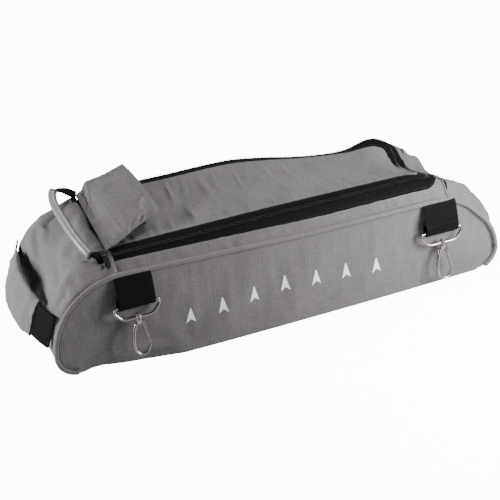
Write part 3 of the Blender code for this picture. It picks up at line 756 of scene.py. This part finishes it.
THREAD = 0.0011
POLY = woven("polyester", (0.125, 0.115, 0.122), (0.2, 0.186, 0.197), THREAD, sheen=0.08)
POLY_PIPE = woven("piping_cloth", (0.13, 0.119, 0.126), (0.2, 0.186, 0.197), THREAD * 0.8, 0.08, 0.25)
TAPE = ribbed("zip_tape", (0.001, 0.001, 0.0011), 0.0011, "X", (0.005, 0.005, 0.0052))
WEB_STRAP = ribbed("strap_webbing", (0.001, 0.001, 0.0011), 0.0016, "X", (0.006, 0.006, 0.0063))
WEB_END = ribbed("end_webbing_weave", (0.001, 0.001, 0.0011), 0.0016, "Z", (0.006, 0.006, 0.0063))
WEB_GRAB = ribbed("grab_webbing_weave", (0.001, 0.001, 0.0011), 0.0013, "Y", (0.006, 0.006, 0.0063))
COIL = smooth_plastic("coil_nylon", (0.006, 0.006, 0.006), (0.016, 0.016, 0.016), 0.4)
NICKEL = metal("nickel", (0.5, 0.48, 0.43), 0.22)
SLIDER = metal("dark_nickel", (0.05, 0.048, 0.045), 0.4)
RUBBER = smooth_plastic("grip_rubber", (0.15, 0.15, 0.15), (0.2, 0.2, 0.2), 0.3)
# Near-black rubber used only as painted shade on the grip's side and ends.
GRIP_PAINTED_SHADE = smooth_plastic("grip_painted_shade", (0.01, 0.01, 0.01), (0.02, 0.02, 0.02), 0.5)
# Dark thread colour, also used for the painted shade line inside the front and back piping.
STITCH_AND_SHADE = smooth_plastic("stitch_thread_and_painted_shade", (0.05, 0.045, 0.048), (0.09, 0.083, 0.088), 0.7)
STITCH_BLACK = smooth_plastic("black_thread", (0.01, 0.01, 0.01), (0.03, 0.03, 0.03), 0.7)
PRINT = smooth_plastic("white_print", (0.8, 0.8, 0.8), (0.88, 0.88, 0.88), 0.55, bump=0.05)
PATCH = woven("hook_and_loop_pile", (0.006, 0.006, 0.006), (0.03, 0.03, 0.03), 0.0012, bump=0.9)
BOARD = smooth_plastic("board_plastic", (0.02, 0.02, 0.02), (0.035, 0.035, 0.035), 0.6, 80.0)


# ---------------------------------------------------------------- body shell
def bulge(x, z, share=1.0):
    """How far the panels belly out over the base edge, most at the middle of the bag."""
    along = max(0.0, 1 - (x / (285.0 * share)) ** 2)
    up = max(0.0, 1 - z / 112.0)
    return BASE_BULGE * along * up**1.3


def foot_tuck(x, z):
    """How far the panel's foot turns inward under a fold near the left end, where the base lifts."""
    fold = 14.0 + 7.0 * (x + 258.0) / 88.0
    near = clamped((-140.0 - x) / 50.0) * clamped((x + 272.0) / 16.0)
    return 8.0 * near * clamped((fold - z) / 8.0)


def panel_point(x, z, back):
    """A point of the front or back panel's middle surface."""
    share = BACK_SHARE if back else 1.0
    y = panel_y(z) + bulge(x, z, share) - foot_tuck(x / share, z)
    return Vector((x, y if back else -y, z))


def panel_rim():
    """The closed edge of a panel's cloth, inside the piping, as the front has it."""
    rim = [flat - normal * (PIPING_RADIUS - 0.8) for flat, normal in FRONT_LINE]
    right = rim[-1].x
    left = rim[0].x
    for k in range(81):
        x = right + (left - right) * k / 80
        rim.append(Vector((x, 0.5 + base_lift(x))))
    return rim


def column_span(rim, x):
    """The lowest and highest places of a closed edge at x."""
    found = []
    for a, b in zip(rim, rim[1:] + rim[:1]):
        if min(a.x, b.x) <= x <= max(a.x, b.x) and abs(b.x - a.x) > 1e-9:
            found.append(a.y + (b.y - a.y) * (x - a.x) / (b.x - a.x))
    return min(found), max(found)


def panel_grid(back):
    """Grid of a panel: upright columns, closer together near its round ends."""
    share = BACK_SHARE if back else 1.0
    rim = panel_rim()
    left = min(p.x for p in rim) + 0.15
    right = max(p.x for p in rim) - 0.15
    columns = 170
    rows = 30
    grid = []
    for i in range(columns + 1):
        t = i / columns
        t = 0.72 * t + 0.28 * (0.5 - 0.5 * math.cos(math.pi * t))
        x = left + (right - left) * t
        low, high = column_span(rim, x)
        grid.append([panel_point(x * share, low + (high - low) * j / rows, back) for j in range(rows + 1)])
    return grid


def make_panels():
    for name, back in (("front", False), ("back", True)):
        cut = panel_grid(back)
        grid = settle(cut, 0.005, 0.1, 2.5)
        grid = smoothed(grid, 4)
        grid = folds(grid, SEEDS[name], 2.6, fade=8)
        made = piece(f"{name}_panel_cloth", *slab(grid, 2.0, roll=False), POLY, "root")
        declare_cloth(cut)
        stand_in(f"{name}_panel")
        make_piping(name, back)
        if not back:
            make_print(grid)


def pipe_path(back, inward=0.0, outward_y=0.0):
    """The piping's line round a panel."""
    share = BACK_SHARE if back else 1.0
    path = []
    for flat, normal in FRONT_LINE:
        place = flat - normal * inward
        if flat.y < PIPING_RADIUS + 0.5:
            continue
        point = panel_point(place.x * share, place.y, back)
        point.y += outward_y if back else -outward_y
        path.append(point)
    return path


def clear_runs(path, back):
    """The stretches of a line that no clip webbing covers."""
    share = -BACK_SHARE if back else 1.0
    runs = [[]]
    for point in path:
        if min(abs(point.x - CLIP_LEFT * share), abs(point.x - CLIP_RIGHT * share)) < STRAP_WIDTH / 2 + 2.0:
            runs.append([])
        else:
            runs[-1].append(point)
    return [run for run in runs if len(run) > 3]


def make_piping(name, back):
    """Cord covered in cloth, slightly uneven, with a row of stitches below it and a dark line along its
    inner edge as painted shade.
    """
    path = pipe_path(back, 0.0, 1.5)
    uneven = []
    for i, point in enumerate(path):
        radius = (PIPING_RADIUS + 0.2) * (1 + 0.05 * bumpy(i * 0.23, 4.0 if back else 9.0, 0))
        uneven.append(circle(radius, 14))
    lips = [circle(PIPING_RADIUS * 0.6, 14)] + uneven[1:-1] + [circle(PIPING_RADIUS * 0.6, 14)]
    made = piece(f"{name}_piping_cord", *sweep(path, lips, (0, 1, 0)), POLY_PIPE, "root")
    stand_in(f"{name}_piping")
    parts = [stitches(run, (0, 1, 0)) for run in clear_runs(pipe_path(back, 5.9, 1.2), back)]
    # A continuous dark line just inside the cord, in the thread's colour: painted shade where the panel
    # meets the piping.
    parts += [sweep(run, circle(0.95, 8), (0, 1, 0)) for run in clear_runs(pipe_path(back, 4.0, 0.8), back)]
    thread = piece(f"{name}_piping_stitches_and_painted_shade", *merged(*parts), STITCH_AND_SHADE, "root")


DARTS = 7
DART_FIRST_X = -128.0
DART_PITCH = 42.0
DART_Z = 46.0
DART_ARCH = 9.0
DART_TIP = 13.0
DART_NOTCH = -4.5
DART_BARB = (6.2, -9.0)


def make_print(grid):
    """A row of plain lane-arrow darts printed across the front."""
    lean = math.tan(PANEL_LEAN)
    shapes = []
    flat = [p for column in grid for p in column]
    middle = (DARTS - 1) / 2
    for k in range(DARTS):
        x = DART_FIRST_X + DART_PITCH * k
        z = DART_Z + DART_ARCH * (1 - abs(k - middle) / middle)
        columns = []
        for t in range(9):
            upper = t / 8
            left = (-DART_BARB[0] * (1 - upper), DART_BARB[1] + (DART_TIP - DART_BARB[1]) * upper)
            inner = (0.0, DART_NOTCH + (DART_TIP - DART_NOTCH) * upper)
            right = (-left[0], left[1])
            row = []
            for place in (left, inner, right):
                px = x + place[0]
                pz = z + place[1]
                near = sorted(flat, key=lambda p: (p.x - px) ** 2 + (p.z - pz) ** 2)[:4]
                weights = [1 / (0.05 + (p.x - px) ** 2 + (p.z - pz) ** 2) for p in near]
                y = sum(w * (p.y + (pz - p.z) * -lean) for w, p in zip(weights, near)) / sum(weights)
                row.append(Vector((px, y - 1.22, pz)))
            columns.append(row)
        shapes.append(slab(columns[:-1], 0.3, roll=False))
    made = piece("lane_arrow_print", *merged(*shapes), PRINT, "root")


def make_base():
    """The base cloth, bellied out to meet the panels and lifted at its left end."""
    columns = 90
    rows = 24
    grid = []
    for i in range(columns + 1):
        line = []
        place = BASE_LEFT + (BASE_RIGHT - BASE_LEFT) * i / columns
        for j in range(rows + 1):
            s = 2 * j / rows - 1
            share = 1 - (1 - BACK_SHARE) * (s + 1) / 2
            x = place * share
            reach = BASE_WIDTH / 2 - 1.6 + bulge(x, 0.0, share) - foot_tuck(place, base_lift(place))
            line.append(Vector((x, s * reach, 1.2 + base_lift(place))))
        grid.append(line)
    made = piece("base_cloth", *slab(grid, 2.0), POLY, "root")
    declare_cloth(grid)
    stand_in("base_panel")
    paint("base_board", BOARD)


def across(edge, count):
    return [edge * math.sin(math.pi / 2 * (2 * k / count - 1)) for k in range(count + 1)]


def make_gussets():
    """The two soft ends."""
    edge = PIPING_Y - 0.6
    ends = (("left_gusset", LID_SEAM_X + 0.6, 52, 44), ("right_gusset", SEAM_X + 0.6, 42, 40))
    for name, seam_x, count, wide in ends:
        places = across(edge, wide)
        spans = []
        for y in places:
            seam = crossing(seam_x / taper(y))
            spans.append((0.0, seam) if seam_x < 0 else (seam, LENGTHS[-1]))
        rows = []
        for i in range(count + 1):
            row = [line_at(a + (b - a) * i / count) for a, b in spans]
            rows.append([end_point(station, y) for station, y in zip(row, places)])
        flat = rows
        rows = settle(rows, 0.035, 0.1, 4.5)
        rows = smoothed(rows, 1)
        rows = rumple(rows, SEEDS[name], 58.0, 2.4, fade=9)
        if seam_x < 0:
            for plain, row in zip(flat, rows):
                for before, point in zip(plain, row):
                    point.x = max(point.x, before.x - GUSSET_SWELL)
        made = piece(f"{name}_cloth", *slab(rows, 1.8), POLY, "root")
        declare_cloth(flat)
        stand_in(name)


def make_strips():
    """The gathered strips between the piping and the zip."""
    edge = PIPING_Y - 0.8
    corner = ZIP_RIGHT - ZIP_CORNER
    first = LID_SEAM_X - 3.0
    runs = 150
    stations = [first + (corner - first) * k / runs for k in range(runs)]
    stations += [corner + (SEAM_X + 1.6 - corner) * math.sin(math.pi / 24 * k) for k in range(13)]
    for name, side in (("front_top_strip", -1), ("back_top_strip", 1)):
        grid = []
        for x in stations:
            covered = 3.6 * clamped((60.0 - x) / 260.0) + 0.35 * bumpy(x / 14.0, side, 2.0)
            radius = ZIP_CORNER + TAPE_START + TAPE_WIDTH - 0.5 - covered
            bend = math.sqrt(max(0.0, radius**2 - max(0.0, x - corner) ** 2))
            inner = ZIP_Y - ZIP_CORNER + bend
            row = []
            for k in range(11):
                t = k / 10
                y = side * (edge + (inner - edge) * t)
                pucker = bumpy(x / 11.0, t * 0.8, side * 3.0) + 0.5 * bumpy(x / 5.0, t, side * 8.0)
                lap = 1.1 * max(0.0, t - 0.6) / 0.4
                tuck = -1.3 * clamped((LID_SEAM_X + 4.0 - x) / 5.0)
                row.append(on_top(x, y, 2.2 * pucker * math.sin(math.pi * t) + lap + tuck))
            grid.append(row)
        made = piece(f"{name}_cloth", *slab(grid, 1.8), POLY, "root")
        declare_cloth(grid)
        stand_in(name)


# ---------------------------------------------------------------- zip
def tape_grid(low, high):
    lines = [zip_line(low + (high - low) * k / 5) for k in range(6)]
    return [[on_top(*line[k]) for line in lines] for k in range(len(lines[0]))]


def tooth(centre, along, side, up):
    """One turn of the coil seen as a small rounded bar across the chain."""
    half = 0.95
    thick = 0.42
    shape = []
    for s, w in ((-half, 0.5), (-half * 0.6, 1.0), (half * 0.6, 1.0), (half, 0.5)):
        for a, b in ((1, 0.4), (0.4, 1), (-0.4, 1), (-1, 0.4), (-1, -0.6), (1, -0.6)):
            shape.append(centre + side * s + along * a * thick * w + up * (b * thick * 1.5 * w))
    faces = [tuple(range(6)), tuple(range(18, 24))]
    for r in range(3):
        for k in range(6):
            a = r * 6 + k
            b = r * 6 + (k + 1) % 6
            faces.append((a, b, b + 6, a + 6))
    return shape, faces


def coil_teeth(offset):
    """A row of coil turns along one side of the zip."""
    path = [on_top(*p, 0.7) for p in zip_line(offset)]
    shapes = []
    walked = 1.0
    passed = 0.0
    for a, b in zip(path, path[1:]):
        gap = (b - a).length
        while walked < passed + gap:
            along = (b - a).normalized()
            side = along.cross(Vector((0, 0, 1))).normalized()
            shapes.append(tooth(a.lerp(b, (walked - passed) / gap), along, side, side.cross(along)))
            walked += 2.0
        passed += gap
    return merged(*shapes)


def make_zip():
    """Tapes and coils of both sides, with the stitching that holds the tapes."""
    for name, sign, body in (("body", -1, "root"), ("lid", 1, "lid")):
        low = sign * 0.5
        high = sign * (TAPE_START + TAPE_WIDTH)
        tape = piece(f"zip_tape_{name}_weave", *slab(tape_grid(low, high), 1.0), TAPE, body)
        stand_in(f"zip_tape_{name}")
        teeth = piece(f"zip_coil_{name}_turns", *coil_teeth(sign * 1.15), COIL, body, crease=60)
        stand_in(f"zip_coil_{name}")
        seam = [on_top(*p, 0.75) for p in zip_line(sign * (TAPE_START + TAPE_WIDTH - 2.2))]
        thread = piece(f"zip_stitches_{name}", *stitches(seam, (0, 0, 1)), STITCH_BLACK, body)


def make_slider():
    """Slider body with its bridge, and the look of the pull tab."""
    low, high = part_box("zip_slider")
    middle = (low + high) / 2 / MM
    near = [(-4.6, -2.9), (-3.2, -4.3), (1.8, -4.4), (4.8, -1.6)]
    outline = [*near, (5.2, 0), (4.8, 1.6), (1.8, 4.4), (-3.2, 4.3), (-4.6, 2.9), (-4.2, 0)]
    plate = prism([middle + Vector((x, y, 0)) for x, y in outline], 1.9, (0, 0, 1))
    bow = ((-3.4, 0.6), (-2.6, 2.3), (0, 2.9), (2.6, 2.3), (3.4, 0.6))
    bridge = [middle + Vector((x, 0, z)) for x, z in bow]
    arch = sweep(smooth_path(bridge, 4), oblong(1.9, 1.0), (0, 1, 0))
    made = piece("zip_slider_body", *merged(plate, arch), SLIDER, "slider")
    stand_in("zip_slider")
    paint("zip_pull", SLIDER)


# ---------------------------------------------------------------- lid and flap
def make_lid():
    """The lid cloth, sagging between the zips."""
    margin = TAPE_START + TAPE_WIDTH - 0.6
    right = ZIP_RIGHT - margin
    corner = 6.0
    first = LID_SEAM_X + 0.6
    runs = 110
    stations = [first + (right - corner - first) * k / runs for k in range(runs + 1)]
    stations += [right - corner + corner * math.sin(math.pi / 8 * k) for k in range(1, 5)]
    grid = []
    for x in stations:
        inside = max(0.0, x - (right - corner))
        half = ZIP_Y - margin - (corner - math.sqrt(max(0.0, corner**2 - inside**2)))
        grid.append([on_top(x, half * (2 * k / 28 - 1)) for k in range(29)])
    cut = grid
    grid = settle(cut, 0.03, 0.3, 4.5, sag=0.4)
    grid = smoothed(grid, 1)
    grid = rumple(grid, SEEDS["lid"], 68.0, 2.2, (0, 0, 1), fade=5)
    made = piece("lid_cloth", *slab(grid, 1.8), POLY, "lid")
    declare_cloth(cut)
    stand_in("lid_panel")
    paint("lid_loop_patch", PATCH)


FLAP_FRONT = (
    (-210.5, -44.0, 143.5), (-203.0, -44.5, 146.0), (-188.0, -40.0, 150.5), (-174.0, -32.0, 152.5),
    (-136.0, -17.0, 158.5),
)
FLAP_BACK = (
    (-210.5, 53.0, 162.5), (-202.0, 60.0, 171.0), (-195.0, 61.0, 172.5), (-177.0, 62.0, 175.0),
    (-149.0, 70.0, 178.5),
)


def along_edge(points, along):
    """A place on a smooth edge, from 0 at its start to 1 at its end."""
    path = smooth_path(points, 12)
    at = along * (len(path) - 1)
    k = min(int(at), len(path) - 2)
    return path[k].lerp(path[k + 1], at - k)


def flap_point(along, side):
    """A point of the flap: along from its seam, side from -1 at the front to 1 at the back."""
    share = (side + 1) / 2
    place = along_edge(FLAP_FRONT, along).lerp(along_edge(FLAP_BACK, along), share)
    place.z += 5.0 * math.sin(math.pi * share) * math.sin(math.pi / 2 * along)
    return place


# The seam on the gusset that the flap is stitched behind, and the flap cloth's own edge beside it.
ROOT_X = -217.5
FOLD_X = -216.8


def flap_root(side):
    """The flap cloth's sewn edge, just past the lid's hinge line."""
    share = (side + 1) / 2
    y = -ZIP_Y + 8 + (2 * ZIP_Y - 9) * share
    return on_top(FOLD_X, y, 2.2)


def make_flap():
    """The curled flap with a sewn hem along its three free edges."""
    rows = 34
    columns = 48
    sides = [2 * j / columns - 1 for j in range(columns + 1)]
    grid = [[flap_point(i / rows, s) for s in sides] for i in range(rows + 1)]
    root = [flap_root(s) for s in sides]
    grid = [[a.lerp(b, k / 5) for a, b in zip(root, grid[2])] for k in range(5)] + grid[2:]
    rows = len(grid) - 1
    grid = smoothed(grid, 3)
    cut = grid
    grid = settle(cut, 0.03, 0.1, 2.5)
    grid = rumple(grid, SEEDS["flap"], 34.0, 1.9, fade=3)
    made = piece("flap_cloth", *slab(grid, 1.8), POLY, None)
    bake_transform(made)
    stand_in("flap_panel")
    inset = 3
    edge = [grid[i][inset] for i in range(9, rows - inset)]
    edge += [grid[rows - inset][j] for j in range(inset, columns - inset)]
    edge += [grid[i][columns - inset] for i in range(rows - inset, 9, -1)]
    rows_of_thread = stitches([p + Vector((0, 0, 1.0)) for p in edge], (0, 0, 1))
    thread = piece("flap_hem_stitches", *rows_of_thread, STITCH_AND_SHADE, "flap")
    declare_cloth(cut)
    paint("flap_hook_patch", PATCH)
    seam = [on_top(ROOT_X - 5.0, y, 1.6) for y in across(ZIP_Y, 30)]
    thread = piece("flap_seam_stitches", *stitches(seam, (0, 0, 1), radius=0.5), STITCH_AND_SHADE, "root")


def make_right_seam():
    """Piped seam at the right end of the top."""
    edge = PIPING_Y - PIPING_RADIUS
    path = [on_top(SEAM_X + 0.8, y, 1.4) for y in across(edge, 40)]
    made = piece("right_seam_cord", *sweep(path, circle(1.7, 12), (1, 0, 0)), POLY_PIPE, "root")
    stand_in("right_seam_piping")


# ---------------------------------------------------------------- handles
GRAB_ROUTE = (
    (-229.0, -52.5, 141.8), (-238.5, -50.5, 144.5), (-245.5, -26.0, 152.0), (-249.0, 8.0, 160.5),
    (-249.5, 36.0, 166.0), (-244.5, 56.0, 169.5), (-235.0, 62.0, 167.5), (-226.0, 61.0, 164.5),
    (-219.5, 57.0, 161.5), (-215.5, 55.0, 160.5),
)


def make_grab_handle():
    """Webbing through a pale rubber tube, with a dark strip along its inner upper side and dark rings at
    its ends as painted shade.
    """
    path = smooth_path(GRAB_ROUTE, 12)
    count = len(path)
    sections = []
    for i in range(count):
        end = min(i / 9, (count - 1 - i) / 44)
        free = min(1.0, 2.2 * max(0.0, 1 - end))
        sections.append(oblong(4.6 + 8.4 * free, 1.8 + 1.6 * free))
    strap = piece("grab_webbing_strap", *sweep(path, sections, (0, 0, 1)), WEB_GRAB, "grab_handle")
    stand_in("grab_webbing")
    tails = []
    for y, far, near in ((GRAB_ROUTE[0][1], -232.0, -220.5), (GRAB_ROUTE[-1][1] - 3.0, -224.0, -217.5)):
        tails.append(slab([[on_top(far + (near - far) * k / 4, y + wide, 1.3) for wide in (-8, -4, 0, 4, 8)]
                           for k in range(5)], 1.4))
    sewn = piece("grab_webbing_tails", *merged(*tails), WEB_GRAB, "root")
    grip_path = path[11:62]
    tube = sweep(grip_path, circle(5.0, 24), (0, 0, 1), bore=circle(3.5, 24))
    grip = piece("grab_grip_tube", *tube, RUBBER, "grab_handle")
    stand_in("grab_grip")
    # Dark strip along the tube's inner upper side: painted shade of the tube's shaded flank.
    shade_strip_path = [p + Vector((3.6, 0.4, 3.2)) for p in grip_path]
    shade_strip_shape = sweep(shade_strip_path, oblong(2.6, 1.2), (0, 0, 1))
    shade_strip = piece("grab_grip_shade_strip", *shade_strip_shape, GRIP_PAINTED_SHADE, "grab_handle")
    # Near-black rings at both ends of the tube: painted shade of its open ends.
    for name, k in (("front", 0), ("back", -1)):
        along = (grip_path[1] - grip_path[0]) if k == 0 else (grip_path[-1] - grip_path[-2])
        along.normalize()
        start = grip_path[k] - along * 1.2
        ring = sweep([start, start + along * 2.4], circle(5.3, 24), (0, 0, 1), bore=circle(3.4, 24))
        cap = piece(f"grab_grip_shade_ring_{name}", *ring, GRIP_PAINTED_SHADE, "grab_handle")


END_TOP_FRONT = Vector((-292.5, -76.0, 88.0))
END_TOP_BACK = Vector((-290.0, 71.0, 110.0))
END_BULGE = 18.0
END_BAND = 42.0
END_UP = Vector((math.sin(math.radians(18)), 0.0, math.cos(math.radians(18))))


def end_place(t, drop):
    out = Vector((-1.0, 0.14, 0.0)).normalized()
    bow = END_BULGE * math.sin(math.pi * clamped(t)) ** 0.8 - 5.0 * max(0.0, t - 0.6) / 0.4
    return END_TOP_FRONT.lerp(END_TOP_BACK, t) + out * bow - END_UP * drop


def make_end_handle():
    """Wide webbing in a soft padded sleeve whose ends are gathered."""
    drop = END_BAND / 2
    path = [end_place(k / 60, drop) for k in range(61)]
    strap = piece("end_webbing_band", *sweep(path, oblong(2.0, END_BAND), END_UP), WEB_END, "end_handle")
    stand_in("end_webbing")
    spots = 46
    sides = oblong(1.0, 1.0, steps=7)
    points = []
    for i in range(spots + 1):
        t = 0.19 + 0.62 * i / spots
        centre = end_place(t, drop)
        after = end_place(t + 0.01, drop)
        along = (after - centre).normalized()
        side = along.cross(END_UP).normalized()
        fat = 1 - 0.45 * abs(2 * i / spots - 1) ** 3
        for a, b in sides:
            inner = 1.6 if (side * a).x > 0 else 1.0
            deep = side * a * 13.5 * fat * inner
            point = centre + deep + END_UP * b * (END_BAND + 11.0) * (0.8 + 0.2 * fat)
            gather = abs(2 * i / spots - 1) ** 2
            fold = bumpy(point.x / 13, point.y / 17, point.z / 9 + 3)
            fold += (0.6 + gather) * bumpy(point.x / 6, point.y / 14, point.z / 5)
            outward = (side * a + END_UP * b).normalized()
            points.append(point + outward * fold * 1.7)
    count = len(sides)
    faces = []
    for i in range(spots):
        for j in range(count):
            k = (j + 1) % count
            faces.append((i * count + j, i * count + k, (i + 1) * count + k, (i + 1) * count + j))
    faces.append(tuple(range(count)))
    faces.append(tuple(spots * count + j for j in range(count)))
    wrap = piece("end_wrap_sleeve", points, faces, POLY, "end_handle", crease=60)
    stand_in("end_wrap")


# ---------------------------------------------------------------- clips
def clip_frames(face, side):
    """The clip's own frame at the top of its webbing, and the frame at the loop's bar."""
    back = face == "back"
    along = CLIP_LEFT if side == "left" else CLIP_RIGHT
    panel = Matrix.Translation((0, (1 if back else -1) * BASE_WIDTH / 2, 0))
    panel = panel @ Euler((-PANEL_LEAN, 0, math.pi if back else 0)).to_matrix().to_4x4()
    place = along * (-BACK_SHARE if back else 1)
    height = outline_height(along) / math.cos(PANEL_LEAN) - STRAP_INSET
    clip = panel @ Matrix.Translation((place, -STRAP_INSET, height))
    hang = clip @ Matrix.Translation((0, -BAR_REACH, -STRAP_LENGTH))
    return clip, hang @ Euler((-HANG_ANGLE, 0, 0)).to_matrix().to_4x4()


def strap_shape():
    """Webbing folded round the loop's bar, with its sewn fold."""
    centre = Vector((0, -BAR_REACH, -STRAP_LENGTH))
    turn = 3.2
    line = [Vector((0, 0.6, 3)), Vector((0, -0.6, -1)), Vector((0, -2.9, -9)),
            Vector((0, centre.y - turn + 0.3, centre.z + 9)), Vector((0, centre.y - turn, centre.z + 3))]
    for k in range(9):
        angle = math.pi + math.pi * k / 8
        line.append(centre + Vector((0, math.cos(angle) * turn, math.sin(angle) * turn)))
    line.append(centre + Vector((0, turn, 9)))
    path = smooth_path(line, 3)
    grid = []
    columns = 16
    for i, p in enumerate(path):
        sway = 0.5 * math.sin(i * 0.12)
        row = []
        for j in range(columns + 1):
            t = j / columns
            row.append(p + Vector((STRAP_WIDTH * (t - 0.5) + sway, -0.25 * math.sin(math.pi * t), 0)))
        grid.append(row)
    return slab(grid, 1.5)


def turned(profile, sides=20):
    """A solid turned about the local Z axis from a profile of radius and height."""
    points = []
    faces = []
    for r, z in profile:
        points += [Vector((r * math.cos(2 * math.pi * j / sides), r * math.sin(2 * math.pi * j / sides), z))
                   for j in range(sides)]
    for i in range(len(profile) - 1):
        for j in range(sides):
            k = (j + 1) % sides
            faces.append((i * sides + j, i * sides + k, (i + 1) * sides + k, (i + 1) * sides + j))
    faces.append(tuple(range(sides)))
    faces.append(tuple((len(profile) - 1) * sides + j for j in range(sides)))
    return points, faces


def loop_shape():
    """Wire loop with the swivel boss at its foot."""
    half = STRAP_WIDTH / 2 + 2.5
    right = [(half, 0), (half + 2, -1.6), (half + 2.6, -5.4), (half - 2, -11.5), (half - 9, -LOOP_DROP)]
    route = [(0, 0), *right, (0, -LOOP_DROP), *[(-x, z) for x, z in reversed(right)]]
    path = smooth_path([(x, 0, z) for x, z in route], 5, closed=True)
    wire = sweep(path, circle(1.75, 14), (0, 1, 0), closed=True)
    boss = [Vector((0, 0, -LOOP_DROP - 2.6)), Vector((0, 0, -LOOP_DROP + 2.6))]
    ring = sweep(boss, circle(3.7, 24), (0, 1, 0), bore=circle(1.9, 24))
    return merged(wire, ring)


def hook_shape():
    """The hook about its post: head, post, swivel collar, fork and bent nose."""
    route = [(0.4, -5.5), (-4.6, -9.6), (-8.3, -20), (-9.8, -32), (-8.8, -41), (-4.2, -46.2), (1.4, -46.8),
             (6.6, -43.6), (9.3, -37.2)]
    path = smooth_path([(x, 0, z) for x, z in route], 6)
    count = len(path)
    thick = []
    for i in range(count):
        t = i / (count - 1)
        thick.append(oblong(4.0 - 0.8 * t, 3.7 - 0.5 * t, steps=4))
    nose = sweep(path, thick, (0, 1, 0))
    post = turned([(0.4, 4.7), (2.6, 4.4), (3.1, 3.7), (3.0, 3.1), (1.45, 3.0), (1.45, -3.0), (3.1, -3.05),
                   (3.7, -3.9), (3.6, -6.2), (2.6, -8.6), (1.2, -9.2)])
    ears = []
    for y in (-2.2, 2.2):
        edge = ((1.0, -5.2), (6.2, -5.6), (7.4, -8.6), (6.9, -11.6), (4.9, -12.4), (2.4, -11))
        ears.append(prism([(x, y, z) for x, z in edge], 1.1, (0, 1, 0)))
    return merged(nose, post, *ears)


def gate_shape():
    """The sprung gate, a folded strip that meets the nose."""
    outline = ((-1.5, 1.5), (1.3, 1.6), (2.4, -1.0), (5.9, -25.3), (3.6, -25.3), (-1.5, -1.2))
    bar = prism([(x, 0, z) for x, z in outline], 2.5, (0, 1, 0))
    axle = [Vector((0, -1.4, 0)), Vector((0, 1.4, 0))]
    hub = sweep(axle, circle(2.0, 18), (0, 0, 1), bore=circle(1.0, 18))
    return merged(bar, hub)


def make_clips():
    strap = strap_shape()
    loop = loop_shape()
    hook = hook_shape()
    gate = gate_shape()
    for face in ("front", "back"):
        for side in ("left", "right"):
            name = f"{face}_{side}"
            clip, hang = clip_frames(face, side)
            post = hang @ Matrix.Translation((0, 0, -LOOP_DROP))
            pivot = hang @ Matrix.Translation((4.9, 0, -LOOP_DROP - 9.8))
            band = piece(f"{name}_strap_webbing", *moved(strap, clip), WEB_STRAP, f"{name}_strap")
            stand_in(f"{name}_strap")
            for part, shape, at in (("loop", loop, hang), ("hook", hook, post), ("gate", gate, pivot)):
                made = piece(f"{name}_{part}_metal", *moved(shape, at), NICKEL, f"{name}_{part}", crease=35)
                stand_in(f"{name}_{part}")
            paint(f"{name}_gate_pin", NICKEL)
            rows = []
            for height in (STRAP_LENGTH - 7.5, STRAP_LENGTH - 9.5):
                line = [Vector((x, -7.6, -height)) for x in (-STRAP_WIDTH / 2 + 2, STRAP_WIDTH / 2 - 2)]
                rows.append(stitches([clip @ p for p in line], clip.to_3x3() @ Vector((0, -1, 0))))
            thread = piece(f"{name}_strap_stitches", *merged(*rows), STITCH_BLACK, f"{name}_strap")


# ---------------------------------------------------------------- stage
FLOOR_HALF = 6.0
FLOOR_GAP = 0.0004
FLOOR_COLOUR = (0.5, 0.5, 0.5, 1)
FLOOR_GLOW = 12.0
STUDIO_STRENGTH = 0.08
LIGHT_TARGET = (0, 0, 0.08)
# Each light: name, place in metres, width in metres, watts.
LIGHTS = (
    ("top", (0.5, 0.9, 1.7), 1.0, 27.5),
    ("right", (0.4, -0.38, 0.3), 0.25, 7.0),
    ("left", (-1.15, 0.15, 0.42), 0.4, 23.0),
)
LENS = 122.4
SENSOR = 36.0
VIEW_TURN = math.radians(25)
VIEW_RISE = math.radians(34)
VIEW_TARGET = (-0.010, 0.0, 0.055)
VIEW_DISTANCE = 2.135


def make_stage():
    """Pale floor, soft lights and the camera."""
    floor_mesh = bpy.data.meshes.new("floor")
    corners = [(x * FLOOR_HALF, y * FLOOR_HALF, 0) for x, y in ((-1, -1), (1, -1), (1, 1), (-1, 1))]
    floor_mesh.from_pydata(corners, [], [(0, 1, 2, 3)])
    floor = linked("floor", floor_mesh)
    floor.location.z = -FLOOR_GAP
    pale = blank("pale_floor", 0.9, Specular_IOR_Level=0.1)
    shader = shader_of(pale)
    shader.inputs["Base Color"].default_value = FLOOR_COLOUR
    shader.inputs["Emission Color"].default_value = (1, 1, 1, 1)
    path = node(pale.node_tree, "ShaderNodeLightPath")
    glow = node(pale.node_tree, "ShaderNodeMath", operation="MULTIPLY")
    glow.inputs[1].default_value = FLOOR_GLOW
    pale.node_tree.links.new(path.outputs["Is Camera Ray"], glow.inputs[0])
    pale.node_tree.links.new(glow.outputs[0], shader.inputs["Emission Strength"])
    floor_mesh.materials.append(pale)
    world = bpy.data.worlds.new("studio")
    world.use_nodes = True
    world.node_tree.nodes["Background"].inputs["Color"].default_value = (1, 1, 1, 1)
    world.node_tree.nodes["Background"].inputs["Strength"].default_value = STUDIO_STRENGTH
    bpy.context.scene.world = world
    for name, place, width, watts in LIGHTS:
        lamp = bpy.data.lights.new(name, "AREA")
        lamp.shape = "SQUARE"
        lamp.size = width
        lamp.energy = watts
        holder = linked(name, lamp)
        holder.location = place
        aim = Vector(LIGHT_TARGET) - Vector(place)
        holder.rotation_euler = aim.to_track_quat("-Z", "Y").to_euler()
    lens = bpy.data.cameras.new("camera")
    lens.lens = LENS
    lens.sensor_width = SENSOR
    camera = linked("camera", lens)
    level = math.cos(VIEW_RISE)
    back = Vector((-math.sin(VIEW_TURN) * level, -math.cos(VIEW_TURN) * level, math.sin(VIEW_RISE)))
    camera.location = Vector(VIEW_TARGET) + back * VIEW_DISTANCE
    camera.rotation_euler = (-back).to_track_quat("-Z", "Y").to_euler()
    bpy.context.scene.camera = camera


make_panels()
make_base()
make_gussets()
make_strips()
make_zip()
make_slider()
make_lid()
make_flap()
make_right_seam()
make_grab_handle()
make_end_handle()
make_clips()
make_stage()

low, high = cad_box
